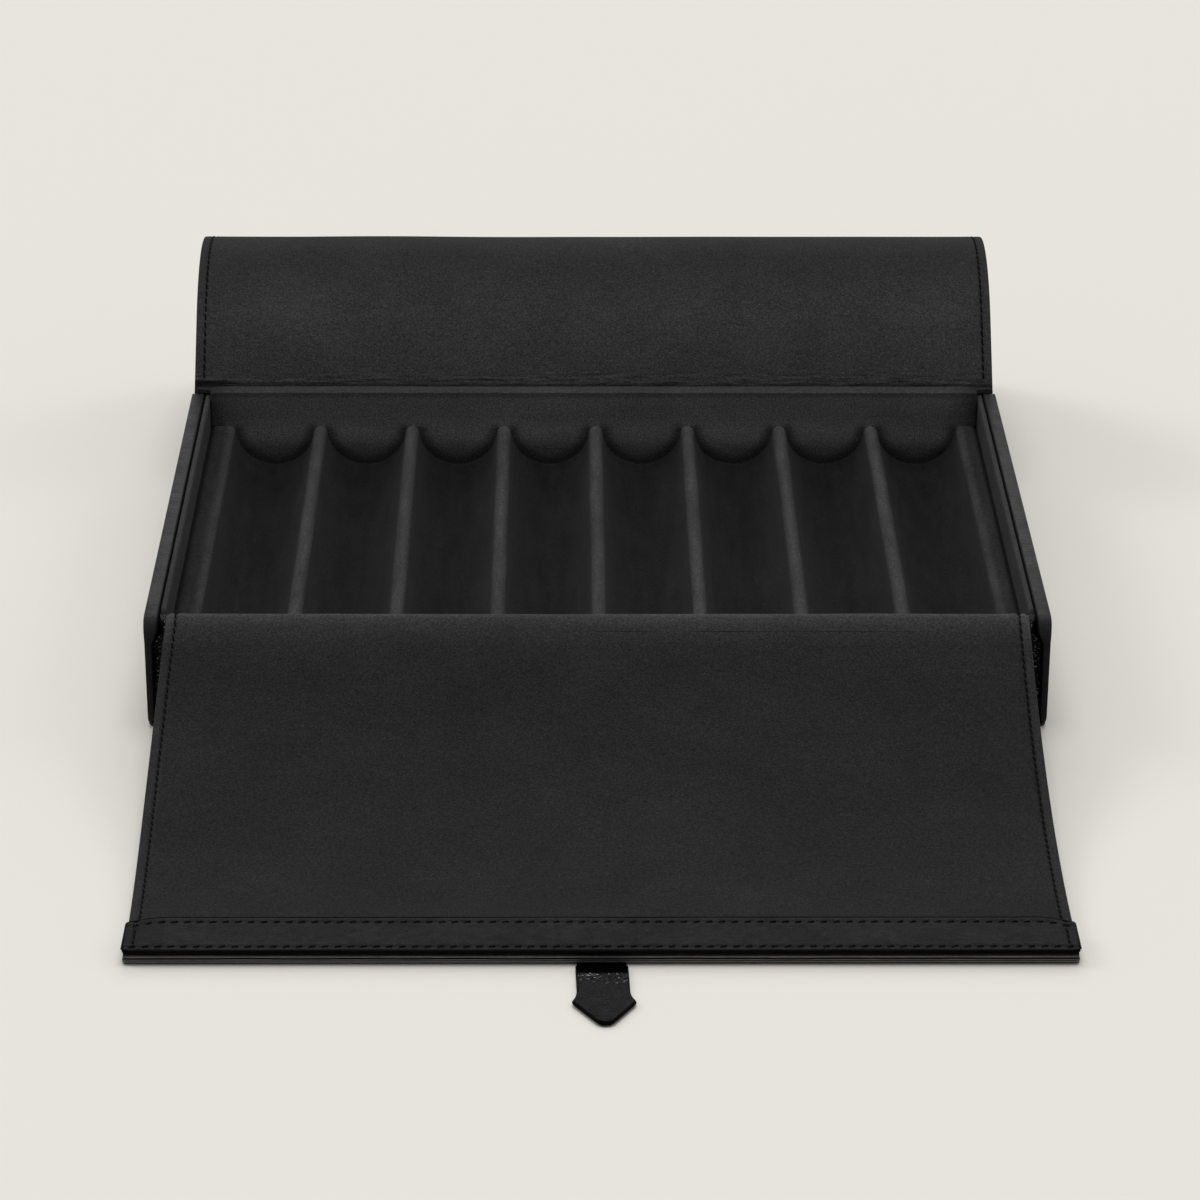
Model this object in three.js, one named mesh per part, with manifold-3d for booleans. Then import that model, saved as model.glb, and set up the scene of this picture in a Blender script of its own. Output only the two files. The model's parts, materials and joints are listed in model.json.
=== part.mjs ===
// Pen case: a leather-covered tray with a scalloped pen bed, two wrap-over flaps and a closing tab
import * as THREE from 'three';
import { mergeVertices } from 'three/addons/utils/BufferGeometryUtils.js';
import Module from 'manifold-3d';

// Tray
const caseWidth = 220;
const caseDepth = 165;
const caseHeight = 28;
const wallThickness = 4;
const wallLeather = 1;
const frontSetback = 2.5;
const baseLeather = 1;
const baseBoard = 2;
const endFrontTopRadius = 5.5;
const endCornerRadius = 3;
const endEdgeRound = 0.9;
const wallTopRound = 0.9;

// Suede linings of the tray
const wallLining = 1.5;
const rimLining = 1.2;
const rimLiningDrop = 0.05;
const endLiningDrop = 0.4;
const liningRound = 0.7;

// Pen bed
const channelCount = 8;
const channelDepth = 11.2;
const ridgeRadius = 2;
const bedLedge = 2.4;
const bedFloor = 4.4;
const bedLining = 1;

// Layers of both flaps
const flapLining = 0.8;
const flapLeather = 0.9;

// Rear flap
const rearHingeRise = 0.3;
const rearLeanAngle = 50;
const rearRootLength = 21;
const rearRollRadius = 36;
const rearTipAngle = 70;
const rearLeafCount = 5;
const rearCornerRadius = 6;

// Front flap
const frontFlapInset = 5.2;
const frontHingeReach = 1.8;
const frontHingeRise = 0.6;
const frontSlopeAngle = 26;
const frontStripLength = 8;
const frontPanelLength = 52;
const frontTailLength = 16.8;
const bandWidth = 14.1;
const bandOverhang = 0.35;
const bandLeather = 0.7;
const bandCornerRadius = 2.5;

// Closing tab and its keeper
const tabNeckWidth = 11.2;
const tabShoulderWidth = 13.8;
const tabFlareStart = 14.2;
const tabShoulderReach = 20.3;
const tabReach = 29.2;
const tabTipWidth = 2.4;
const tabLeather = 0.45;
const keeperSpan = 17;
const keeperRise = 5.4;
const keeperStrap = 6;
const keeperLeather = 1.1;
const keeperFoot = 4;
const keeperRound = 1.6;
const keeperReach = 24.7;

// Clearances
const glueGap = 0.2;
const fitGap = 0.3;
const hingeGap = 0.3;
const leafGap = 0.3;
const tableGap = 0.25;

// Fineness of round stretches
const curveSteps = 6;
const channelSteps = 16;
const edgeSteps = 3;
const ridgeSteps = 6;
const flapStepAngle = 3;
const samePoint = 1e-4;

const radians = THREE.MathUtils.degToRad;

// Heights of the tray's layers
const wallBottom = baseLeather + glueGap;
const boardTop = wallBottom + baseBoard;
const bedBottom = boardTop + glueGap;
const rimTop = caseHeight - rimLiningDrop;
const wallTop = rimTop - rimLining - glueGap;
const endLiningTop = caseHeight - endLiningDrop;

// Plan positions of the tray's walls, from the outside in
const endOuter = caseWidth / 2;
const endInner = endOuter - wallThickness;
const frontOuter = -caseDepth / 2 + frontSetback;
const rearOuter = caseDepth / 2;
const frontInner = frontOuter + wallThickness;
const rearInner = rearOuter - wallThickness;
const crossHalf = endInner - fitGap;
const frontLiningOuter = frontInner + glueGap;
const rearLiningOuter = rearInner - glueGap;
const wellFront = frontLiningOuter + wallLining;
const wellRear = rearLiningOuter - wallLining;
const endLiningOuter = endInner - glueGap;
const wellHalf = endLiningOuter - wallLining;

// Flap stack, measured down from the lining's face
const liningFace = 0;
const liningBack = flapLining;
const leatherBack = flapLining + glueGap;
const leatherFace = leatherBack + flapLeather;

// Materials
const grainLeather = new THREE.MeshStandardMaterial({ color: 0x2b2b2b, roughness: 0.5, metalness: 0 });
const suede = new THREE.MeshStandardMaterial({ color: 0x2f2f2f, roughness: 0.95, metalness: 0 });
const greyBoard = new THREE.MeshStandardMaterial({ color: 0x6f6a60, roughness: 0.9, metalness: 0 });
const bedFoam = new THREE.MeshStandardMaterial({ color: 0x3a3a3a, roughness: 1, metalness: 0 });

const wasm = await Module();
wasm.setup();

// A closed geometry as a solid for cutting
function toSolid(geometry) {
  const bare = geometry.clone();
  bare.deleteAttribute('normal');
  bare.deleteAttribute('uv');
  const merged = mergeVertices(bare);
  const vertProperties = merged.attributes.position.array;
  const triVerts = new Uint32Array(merged.index.array);
  return new wasm.Manifold(new wasm.Mesh({ numProp: 3, vertProperties, triVerts }));
}

// A cut solid as a geometry
function toGeometry(solid) {
  const cut = solid.getMesh();
  const geometry = new THREE.BufferGeometry();
  geometry.setAttribute('position', new THREE.BufferAttribute(cut.vertProperties, 3));
  geometry.setIndex(new THREE.BufferAttribute(cut.triVerts, 1));
  geometry.computeVertexNormals();
  return geometry;
}

// Axes for a profile drawn as (Y, Z) and carried along X, and for one drawn as (X, Z) and carried along -Y
const alongX = new THREE.Matrix4().makeBasis(
  new THREE.Vector3(0, 1, 0), new THREE.Vector3(0, 0, 1), new THREE.Vector3(1, 0, 0));
const alongY = new THREE.Matrix4().makeBasis(
  new THREE.Vector3(1, 0, 0), new THREE.Vector3(0, 0, 1), new THREE.Vector3(0, -1, 0));

// A profile carried through a length, with the length centred on the profile's plane
function extrude(shape, length) {
  const settings = { depth: length, bevelEnabled: false, curveSegments: curveSteps };
  const geometry = new THREE.ExtrudeGeometry(shape, settings);
  geometry.translate(0, 0, -length / 2);
  return geometry;
}

// A (Y, Z) profile carried across the case
function extrudeAcross(shape, width) {
  return extrude(shape, width).applyMatrix4(alongX);
}

// An (X, Y) outline raised from one height to another
function raise(shape, bottom, top) {
  return extrude(shape, top - bottom).translate(0, 0, (bottom + top) / 2);
}

function addMesh(group, name, geometry, material) {
  const mesh = new THREE.Mesh(geometry, material);
  mesh.name = name;
  group.add(mesh);
  return mesh;
}

// A rectangle with its own radius at each corner, from the lower left round to the upper left
function roundedRectangle(x0, y0, x1, y1, lowerLeft, lowerRight, upperRight, upperLeft) {
  const shape = new THREE.Shape();
  shape.moveTo(x0 + lowerLeft, y0);
  shape.lineTo(x1 - lowerRight, y0);
  if (lowerRight > 0) shape.absarc(x1 - lowerRight, y0 + lowerRight, lowerRight, -Math.PI / 2, 0);
  shape.lineTo(x1, y1 - upperRight);
  if (upperRight > 0) shape.absarc(x1 - upperRight, y1 - upperRight, upperRight, 0, Math.PI / 2);
  shape.lineTo(x0 + upperLeft, y1);
  if (upperLeft > 0) shape.absarc(x0 + upperLeft, y1 - upperLeft, upperLeft, Math.PI / 2, Math.PI);
  shape.lineTo(x0, y0 + lowerLeft);
  if (lowerLeft > 0) shape.absarc(x0 + lowerLeft, y0 + lowerLeft, lowerLeft, Math.PI, Math.PI * 1.5);
  return shape;
}

// An end wall's side outline, drawn in by an inset
function endOutline(inset, bottom) {
  const front = -caseDepth / 2 + inset;
  const rear = caseDepth / 2 - inset;
  const corner = Math.max(endCornerRadius - inset, 0);
  const frontTop = endFrontTopRadius - inset;
  return roundedRectangle(front, bottom, rear, caseHeight - inset, 0, 0, corner, frontTop);
}

// Leather sock over an end board: rounded edges, open at the bottom
function endCoverGeometry() {
  const settings = {
    depth: wallThickness - 2 * endEdgeRound,
    bevelEnabled: true,
    bevelThickness: endEdgeRound,
    bevelSize: endEdgeRound,
    bevelOffset: -endEdgeRound,
    bevelSegments: edgeSteps,
    curveSegments: curveSteps,
  };
  const block = new THREE.ExtrudeGeometry(endOutline(0, wallBottom), settings);
  block.translate(0, 0, -settings.depth / 2).applyMatrix4(alongX);
  const pocketWidth = wallThickness - 2 * wallLeather;
  const pocket = extrudeAcross(endOutline(wallLeather, 0), pocketWidth);
  return toGeometry(toSolid(block).subtract(toSolid(pocket)));
}

// Stiff board inside an end wall
function endBoardGeometry() {
  const thickness = wallThickness - 2 * wallLeather - 2 * fitGap;
  return extrudeAcross(endOutline(wallLeather + fitGap, wallBottom), thickness);
}

// Leather folded over a cross wall's board, as an upturned U
function crossCoverGeometry(outerY, innerY) {
  const low = Math.min(outerY, innerY);
  const high = Math.max(outerY, innerY);
  const shape = new THREE.Shape();
  shape.moveTo(high, wallBottom);
  shape.lineTo(high, wallTop - wallTopRound);
  shape.absarc(high - wallTopRound, wallTop - wallTopRound, wallTopRound, 0, Math.PI / 2);
  shape.lineTo(low + wallTopRound, wallTop);
  shape.absarc(low + wallTopRound, wallTop - wallTopRound, wallTopRound, Math.PI / 2, Math.PI);
  shape.lineTo(low, wallBottom);
  shape.lineTo(low + wallLeather, wallBottom);
  shape.lineTo(low + wallLeather, wallTop - wallLeather);
  shape.lineTo(high - wallLeather, wallTop - wallLeather);
  shape.lineTo(high - wallLeather, wallBottom);
  return extrudeAcross(shape, 2 * crossHalf);
}

// Stiff board inside a cross wall
function crossBoardGeometry(outerY, innerY) {
  const inset = wallLeather + fitGap;
  const low = Math.min(outerY, innerY) + inset;
  const high = Math.max(outerY, innerY) - inset;
  const shape = roundedRectangle(low, wallBottom, high, wallTop - inset, 0, 0, 0, 0);
  return extrudeAcross(shape, 2 * crossHalf);
}

// Suede of a cross wall: down the inside and over the rim, where the flap's lining takes over
function crossLiningGeometry(outerY, wellY, edgeY) {
  const inward = Math.sign(wellY - outerY);
  const shape = new THREE.Shape();
  const roundY = wellY - inward * liningRound;
  const noseRadius = rimLining / 2;
  const noseY = edgeY + inward * noseRadius;
  const innerTurn = inward > 0 ? 0 : Math.PI;
  const outerTurn = Math.PI - innerTurn;
  shape.moveTo(wellY, bedBottom);
  shape.lineTo(wellY, rimTop - liningRound);
  shape.absarc(roundY, rimTop - liningRound, liningRound, innerTurn, Math.PI / 2, inward < 0);
  shape.lineTo(noseY, rimTop);
  const noseEnd = inward > 0 ? Math.PI * 1.5 : -Math.PI / 2;
  const noseStart = Math.PI / 2;
  shape.absarc(noseY, rimTop - noseRadius, noseRadius, noseStart, noseEnd, inward < 0);
  shape.lineTo(outerY, rimTop - rimLining);
  shape.lineTo(outerY, bedBottom);
  return extrudeAcross(shape, 2 * crossHalf);
}

// Suede of an end wall, between the two cross linings
function endLiningGeometry() {
  const half = wallLining / 2;
  const length = wellRear - wellFront - 2 * glueGap;
  const shape = roundedRectangle(-half, bedBottom, half, endLiningTop, 0, 0, liningRound, liningRound);
  const geometry = extrude(shape, length).applyMatrix4(alongY);
  return geometry.translate(0, (wellFront + wellRear) / 2, 0);
}

// The pen bed's wavy top, drawn back by an inset: hollow arcs that run into round ridges
function bedProfile(inset) {
  const bedHalf = wellHalf - glueGap;
  const pitch = (2 * (bedHalf - bedLedge)) / channelCount;
  const halfPitch = pitch / 2;
  const channelFloor = bedBottom + bedFloor + glueGap + bedLining;
  const ridgeTop = channelFloor + channelDepth;
  const square = halfPitch ** 2 + channelDepth ** 2 - 2 * ridgeRadius * channelDepth;
  const channelRadius = square / (2 * channelDepth);
  const channelCentre = channelFloor + channelRadius;
  const ridgeCentre = ridgeTop - ridgeRadius;
  const tilt = Math.atan2(channelCentre - ridgeCentre, halfPitch);
  const points = [new THREE.Vector2(-bedHalf, ridgeTop - inset)];
  const addArc = (x, z, radius, from, to, steps) => {
    for (let step = 0; step <= steps; step += 1) {
      const angle = from + ((to - from) * step) / steps;
      points.push(new THREE.Vector2(x + radius * Math.cos(angle), z + radius * Math.sin(angle)));
    }
  };
  for (let ridge = 0; ridge <= channelCount; ridge += 1) {
    const ridgeX = (ridge - channelCount / 2) * pitch;
    const from = ridge === 0 ? Math.PI / 2 : Math.PI - tilt;
    const to = ridge === channelCount ? Math.PI / 2 : tilt;
    addArc(ridgeX, ridgeCentre, ridgeRadius - inset, from, to, ridgeSteps);
    if (ridge < channelCount) {
      const low = channelRadius + inset;
      addArc(ridgeX + halfPitch, channelCentre, low, Math.PI + tilt, Math.PI * 2 - tilt, channelSteps);
    }
  }
  points.push(new THREE.Vector2(bedHalf, ridgeTop - inset));
  return points.filter((point, index) => index === 0 || point.distanceTo(points[index - 1]) > samePoint);
}

// A bed profile carried from the front lining to the rear lining
function bedGeometry(outline) {
  const length = wellRear - wellFront - 2 * glueGap;
  const geometry = extrude(new THREE.Shape(outline), length).applyMatrix4(alongY);
  return geometry.translate(0, (wellFront + wellRear) / 2, 0);
}

// Firm block under the bed's suede
function bedCoreGeometry() {
  const top = bedProfile(bedLining + glueGap);
  const bedHalf = wellHalf - glueGap;
  const bottom = [new THREE.Vector2(bedHalf, bedBottom), new THREE.Vector2(-bedHalf, bedBottom)];
  return bedGeometry([...top, ...bottom]);
}

// Suede sheet that follows the channels and ridges
function bedLiningGeometry() {
  return bedGeometry([...bedProfile(0), ...bedProfile(bedLining).reverse()]);
}

// A flap's lining face as straight and round stretches, followed from its hinge.
// liningSide is 1 where the lining lies to the left of the way along the flap, and -1 to the right
function flapCurve(start, startAngle, stretches, liningSide) {
  const place = (along, depth) => {
    let point = start.clone();
    let angle = startAngle;
    let left = along;
    stretches.forEach((stretch, index) => {
      const last = index === stretches.length - 1;
      const used = last ? left : Math.min(Math.max(left, 0), stretch.length);
      const turned = (stretch.turn * used) / stretch.length;
      const mean = angle + turned / 2;
      const chord = turned === 0 ? used : (used * Math.sin(turned / 2)) / (turned / 2);
      point = point.add(new THREE.Vector2(Math.cos(mean), Math.sin(mean)).multiplyScalar(chord));
      angle += turned;
      left -= used;
    });
    const inward = new THREE.Vector2(Math.sin(angle), -Math.cos(angle)).multiplyScalar(liningSide);
    return { point: point.addScaledVector(inward, depth), angle };
  };
  const length = stretches.reduce((sum, stretch) => sum + stretch.length, 0);
  const joins = [];
  stretches.reduce((sum, stretch) => {
    joins.push(sum + stretch.length);
    return sum + stretch.length;
  }, 0);
  return { place, length, joins };
}

// One layer of a leaf, from one length along the flap to another and from one depth to another
function layerShape(curve, from, to, near, far) {
  const stops = [from, ...curve.joins.filter((join) => join > from && join < to), to];
  const lengths = [from];
  for (let index = 1; index < stops.length; index += 1) {
    const begin = stops[index - 1];
    const span = stops[index] - begin;
    const turn = Math.abs(curve.place(stops[index], 0).angle - curve.place(begin, 0).angle);
    const steps = Math.max(1, Math.ceil(turn / radians(flapStepAngle)));
    for (let step = 1; step <= steps; step += 1) lengths.push(begin + (span * step) / steps);
  }
  const top = lengths.map((along) => curve.place(along, near).point);
  const bottom = lengths.map((along) => curve.place(along, far).point);
  return new THREE.Shape([...top, ...bottom.reverse()]);
}

// Rear flap: straight up from the hinge, over in a roll, then down to the table
const rearHinge = new THREE.Vector2(rearOuter, caseHeight + rearHingeRise);
const rearRollTurn = radians(rearLeanAngle + rearTipAngle);
const rearRollTop = rearHinge.y + rearRootLength * Math.sin(radians(rearLeanAngle));
const rearRollDrop = Math.cos(radians(rearTipAngle)) - Math.cos(radians(rearLeanAngle));
const rearTipStart = rearRollTop + rearRollRadius * rearRollDrop;
const rearTipFloor = tableGap + leatherFace * Math.cos(radians(rearTipAngle));
const rearTipLength = (rearTipStart - rearTipFloor) / Math.sin(radians(rearTipAngle));
const rearCurve = flapCurve(rearHinge, radians(rearLeanAngle), [
  { length: rearRootLength, turn: 0 },
  { length: rearRollRadius * rearRollTurn, turn: -rearRollTurn },
  { length: rearTipLength, turn: 0 },
], 1);

// Lengths along the rear flap where one leaf ends and the next begins
const leafRoll = (rearRollRadius * rearRollTurn) / (rearLeafCount - 1);
const rearLeafEnds = [hingeGap - leafGap / 2];
for (let leaf = 1; leaf < rearLeafCount; leaf += 1) {
  rearLeafEnds.push(rearRootLength + leafRoll * leaf - leafRoll / 2);
}
rearLeafEnds.push(rearCurve.length + leafGap / 2);

// The free edge's rounded corners, as a prism standing square to the flap's tip
function roundTip(geometry) {
  const tip = rearCurve.place(rearCurve.length, leatherFace / 2);
  const reach = rearTipLength + leafRoll;
  const depth = rearRollRadius;
  const outline = roundedRectangle(
    -caseWidth / 2, -reach, caseWidth / 2, 0, 0, 0, rearCornerRadius, rearCornerRadius);
  const along = new THREE.Vector3(0, Math.cos(tip.angle), Math.sin(tip.angle));
  const across = new THREE.Vector3(1, 0, 0);
  const square = new THREE.Vector3().crossVectors(across, along);
  const placing = new THREE.Matrix4().makeBasis(across, along, square);
  placing.setPosition(0, tip.point.x, tip.point.y);
  const prism = extrude(outline, depth).applyMatrix4(placing);
  return toGeometry(toSolid(geometry).intersect(toSolid(prism)));
}

// Keeper: a leather strap bridged over the rear flap's outer face, as a hat profile
function keeperGeometry() {
  const inner = keeperSpan / 2;
  const outer = inner + keeperLeather;
  const foot = outer + keeperFoot;
  const top = keeperRise + keeperLeather;
  const outerRound = keeperRound + keeperLeather;
  const shape = new THREE.Shape();
  shape.moveTo(foot, 0);
  shape.lineTo(foot, keeperLeather);
  shape.lineTo(outer, keeperLeather);
  shape.lineTo(outer, top - outerRound);
  shape.absarc(outer - outerRound, top - outerRound, outerRound, 0, Math.PI / 2);
  shape.lineTo(outerRound - outer, top);
  shape.absarc(outerRound - outer, top - outerRound, outerRound, Math.PI / 2, Math.PI);
  shape.lineTo(-outer, keeperLeather);
  shape.lineTo(-foot, keeperLeather);
  shape.lineTo(-foot, 0);
  shape.lineTo(-inner, 0);
  shape.lineTo(-inner, keeperRise - keeperRound);
  shape.absarc(keeperRound - inner, keeperRise - keeperRound, keeperRound, Math.PI, Math.PI / 2, true);
  shape.lineTo(inner - keeperRound, keeperRise);
  shape.absarc(inner - keeperRound, keeperRise - keeperRound, keeperRound, Math.PI / 2, 0, true);
  shape.lineTo(inner, 0);
  const seat = rearCurve.place(keeperReach, leatherFace + fitGap);
  const across = new THREE.Vector3(1, 0, 0);
  const outward = new THREE.Vector3(0, Math.sin(seat.angle), -Math.cos(seat.angle));
  const along = new THREE.Vector3().crossVectors(across, outward);
  const placing = new THREE.Matrix4().makeBasis(across, outward, along);
  placing.setPosition(0, seat.point.x, seat.point.y);
  return extrude(shape, keeperStrap).applyMatrix4(placing);
}

// Front flap: down from the front rim in a long sag, then flat along the table to its band
const frontFlapWidth = caseWidth - 2 * frontFlapInset;
const bandBottom = tableGap;
const flapBottom = bandBottom + bandLeather + glueGap;
const tailFace = flapBottom + leatherFace;
const frontHinge = new THREE.Vector2(frontOuter - frontHingeReach, caseHeight + frontHingeRise);
const frontSlope = radians(frontSlopeAngle);
const frontSagRadius = (frontHinge.y - tailFace) / (1 - Math.cos(frontSlope));
const frontCurve = flapCurve(frontHinge, Math.PI + frontSlope, [
  { length: frontSagRadius * frontSlope, turn: -frontSlope },
  { length: frontTailLength, turn: 0 },
], -1);
const frontLeafEnds = [
  hingeGap - leafGap / 2,
  frontStripLength,
  frontStripLength + frontPanelLength,
  frontCurve.length + leafGap / 2,
];
const frontEdge = frontCurve.place(frontCurve.length, 0).point.x;

// Plain leather strip along the front flap's free edge
function bandGeometry(bottom) {
  const half = frontFlapWidth / 2 + bandOverhang;
  const outline = roundedRectangle(
    -half, frontEdge, half, frontEdge + bandWidth,
    bandCornerRadius, bandCornerRadius, bandCornerRadius, bandCornerRadius);
  return raise(outline, bottom, bottom + bandLeather);
}

// One layer of the closing tab: a neck that flares to two shoulders and a blunt point
function tabGeometry(bottom) {
  const neck = tabNeckWidth / 2;
  const shoulder = tabShoulderWidth / 2;
  const tip = tabTipWidth / 2;
  const root = frontEdge - hingeGap;
  const flare = root - tabFlareStart;
  const shoulderY = root - tabShoulderReach;
  const tipY = root - tabReach;
  const shape = new THREE.Shape();
  shape.moveTo(neck, root);
  shape.lineTo(-neck, root);
  shape.lineTo(-neck, flare);
  shape.quadraticCurveTo(-neck, shoulderY, -shoulder, shoulderY);
  shape.lineTo(-tip, tipY);
  shape.lineTo(tip, tipY);
  shape.lineTo(shoulder, shoulderY);
  shape.quadraticCurveTo(neck, shoulderY, neck, flare);
  return raise(shape, bottom, bottom + tabLeather);
}

// Tray: base, four boards in leather, four linings and the pen bed
function buildTray() {
  const tray = new THREE.Group();
  const plan = roundedRectangle(
    -endOuter, -caseDepth / 2, endOuter, rearOuter,
    endEdgeRound, endEdgeRound, endEdgeRound, endEdgeRound);
  addMesh(tray, 'base_cover', raise(plan, 0, baseLeather), grainLeather);
  const boardFront = frontInner + fitGap;
  const boardRear = rearInner - fitGap;
  const boardPlan = roundedRectangle(-crossHalf, boardFront, crossHalf, boardRear, 0, 0, 0, 0);
  addMesh(tray, 'base_board', raise(boardPlan, wallBottom, boardTop), greyBoard);
  [['left', -1], ['right', 1]].forEach(([side, sign]) => {
    const wallX = sign * (endOuter - wallThickness / 2);
    addMesh(tray, `${side}_end_cover`, endCoverGeometry(), grainLeather).position.x = wallX;
    addMesh(tray, `${side}_end_board`, endBoardGeometry(), greyBoard).position.x = wallX;
    const liningX = sign * (endLiningOuter - wallLining / 2);
    addMesh(tray, `${side}_end_lining`, endLiningGeometry(), suede).position.x = liningX;
  });
  addMesh(tray, 'front_wall_cover', crossCoverGeometry(frontOuter, frontInner), grainLeather);
  addMesh(tray, 'front_wall_board', crossBoardGeometry(frontOuter, frontInner), greyBoard);
  const frontNose = frontOuter - frontHingeReach / 2;
  addMesh(tray, 'front_wall_lining', crossLiningGeometry(frontLiningOuter, wellFront, frontNose), suede);
  addMesh(tray, 'rear_wall_cover', crossCoverGeometry(rearOuter, rearInner), grainLeather);
  addMesh(tray, 'rear_wall_board', crossBoardGeometry(rearOuter, rearInner), greyBoard);
  addMesh(tray, 'rear_wall_lining', crossLiningGeometry(rearLiningOuter, wellRear, rearOuter), suede);
  addMesh(tray, 'bed_core', bedCoreGeometry(), bedFoam);
  addMesh(tray, 'bed_lining', bedLiningGeometry(), suede);
  return tray;
}

// Rear flap: leaves of lining and leather, hinged to one another, and the keeper
function buildRearFlap() {
  const flap = new THREE.Group();
  for (let leaf = 1; leaf <= rearLeafCount; leaf += 1) {
    const from = rearLeafEnds[leaf - 1] + leafGap / 2;
    const to = rearLeafEnds[leaf] - leafGap / 2;
    const finish = leaf === rearLeafCount ? roundTip : (geometry) => geometry;
    const lining = extrudeAcross(layerShape(rearCurve, from, to, liningFace, liningBack), caseWidth);
    const leather = extrudeAcross(layerShape(rearCurve, from, to, leatherBack, leatherFace), caseWidth);
    addMesh(flap, `rear_flap_lining_${leaf}`, finish(lining), suede);
    addMesh(flap, `rear_flap_cover_${leaf}`, finish(leather), grainLeather);
  }
  addMesh(flap, 'keeper_strap', keeperGeometry(), grainLeather);
  return flap;
}

// Front flap: hinge strip, two panels, the band on both faces of its edge, and the tab
function buildFrontFlap() {
  const flap = new THREE.Group();
  ['strip', 'upper', 'lower'].forEach((leaf, index) => {
    const from = frontLeafEnds[index] + leafGap / 2;
    const to = frontLeafEnds[index + 1] - leafGap / 2;
    const lining = layerShape(frontCurve, from, to, liningFace, liningBack);
    const leather = layerShape(frontCurve, from, to, leatherBack, leatherFace);
    addMesh(flap, `front_flap_lining_${leaf}`, extrudeAcross(lining, frontFlapWidth), suede);
    addMesh(flap, `front_flap_cover_${leaf}`, extrudeAcross(leather, frontFlapWidth), grainLeather);
  });
  addMesh(flap, 'inner_band', bandGeometry(tailFace + glueGap), grainLeather);
  addMesh(flap, 'outer_band', bandGeometry(bandBottom), grainLeather);
  addMesh(flap, 'tab_face', tabGeometry(bandBottom), grainLeather);
  addMesh(flap, 'tab_backing', tabGeometry(bandBottom + tabLeather + glueGap), grainLeather);
  return flap;
}

const penCase = new THREE.Group();
penCase.name = 'pen_case';
penCase.add(buildTray());
penCase.add(buildRearFlap());
penCase.add(buildFrontFlap());

export default penCase;
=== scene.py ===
import json
import bpy
import bmesh
from math import asin, ceil, cos, degrees, exp, pi, radians, sin, sqrt, tan
from mathutils import Matrix, Vector, noise


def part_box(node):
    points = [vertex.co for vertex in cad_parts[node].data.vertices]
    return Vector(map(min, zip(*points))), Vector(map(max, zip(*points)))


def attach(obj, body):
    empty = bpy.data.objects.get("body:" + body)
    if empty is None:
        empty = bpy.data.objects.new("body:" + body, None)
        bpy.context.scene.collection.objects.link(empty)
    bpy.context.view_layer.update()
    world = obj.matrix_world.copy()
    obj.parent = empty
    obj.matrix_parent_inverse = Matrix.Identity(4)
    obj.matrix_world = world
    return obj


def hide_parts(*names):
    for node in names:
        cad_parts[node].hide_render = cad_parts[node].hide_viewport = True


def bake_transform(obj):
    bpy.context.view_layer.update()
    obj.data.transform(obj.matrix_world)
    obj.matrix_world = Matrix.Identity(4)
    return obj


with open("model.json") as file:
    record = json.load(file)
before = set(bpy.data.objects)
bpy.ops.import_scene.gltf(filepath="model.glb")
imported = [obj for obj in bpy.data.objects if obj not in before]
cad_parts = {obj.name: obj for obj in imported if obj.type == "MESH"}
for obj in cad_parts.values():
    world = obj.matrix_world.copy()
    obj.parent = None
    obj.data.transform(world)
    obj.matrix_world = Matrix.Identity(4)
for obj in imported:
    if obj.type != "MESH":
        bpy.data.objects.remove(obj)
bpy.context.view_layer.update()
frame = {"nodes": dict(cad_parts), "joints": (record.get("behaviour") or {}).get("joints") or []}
scene = bpy.context.scene
mm = .001  # lengths below are in millimetres


# finishes

def startFinish(name):
    finish = bpy.data.materials.new(name)
    finish.use_nodes = True
    return finish, finish.node_tree, finish.node_tree.nodes["Principled BSDF"]


# an input takes a plain value or another node's output
def setInputs(node, values):
    for key, value in values.items():
        if isinstance(value, bpy.types.NodeSocket):
            node.id_data.links.new(value, node.inputs[key])
        else:
            node.inputs[key].default_value = value


def addNode(tree, kind, values, **settings):
    node = tree.nodes.new("ShaderNode" + kind)
    for key, value in settings.items():
        setattr(node, key, value)
    setInputs(node, values)
    return node


def objectSpot(tree):
    return addNode(tree, "TexCoord", {}).outputs["Object"]


def addNoise(tree, scale, detail=2, rough=.5, stretch=None):
    spot = objectSpot(tree)
    if stretch:
        spot = addNode(tree, "Mapping", {"Vector": spot, "Scale": stretch}).outputs["Vector"]
    values = {"Vector": spot, "Scale": scale, "Detail": detail, "Roughness": rough}
    return addNode(tree, "TexNoise", values).outputs["Fac"]


# stops are (place, tone), where a single number is a grey
def addRamp(source, stops):
    ramp = addNode(source.id_data, "ValToRGB", {"Fac": source})
    marks = ramp.color_ramp.elements
    while len(marks) < len(stops):
        marks.new(.5)
    for mark, (at, tone) in zip(marks, stops):
        mark.position = at
        mark.color = (*tone, 1) if isinstance(tone, tuple) else (tone, tone, tone, 1)
    return ramp.outputs["Color"]


def addMix(blend, first, second):
    values = {0: 1.0, 6: first, 7: second}
    return addNode(first.id_data, "Mix", values, data_type="RGBA", blend_type=blend).outputs[2]


def multiply(colour, source, stops):
    return addMix("MULTIPLY", colour, addRamp(source, stops))


def addBump(source, strength, distance, under=None):
    values = {"Height": source, "Strength": strength, "Distance": distance}
    if under:
        values["Normal"] = under
    return addNode(source.id_data, "Bump", values).outputs["Normal"]


# tones along one axis, from low to high, or out from the middle on both sides
def addZone(tree, axis, low, high, mirrored, stops):
    spot = addNode(tree, "SeparateXYZ", {"Vector": objectSpot(tree)}).outputs[axis]
    if mirrored:
        spot = addNode(tree, "Math", {0: spot}, operation="ABSOLUTE").outputs[0]
    values = {"Value": spot, "From Min": low * mm, "From Max": high * mm}
    return addRamp(addNode(tree, "MapRange", values).outputs["Result"], stops)


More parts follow.
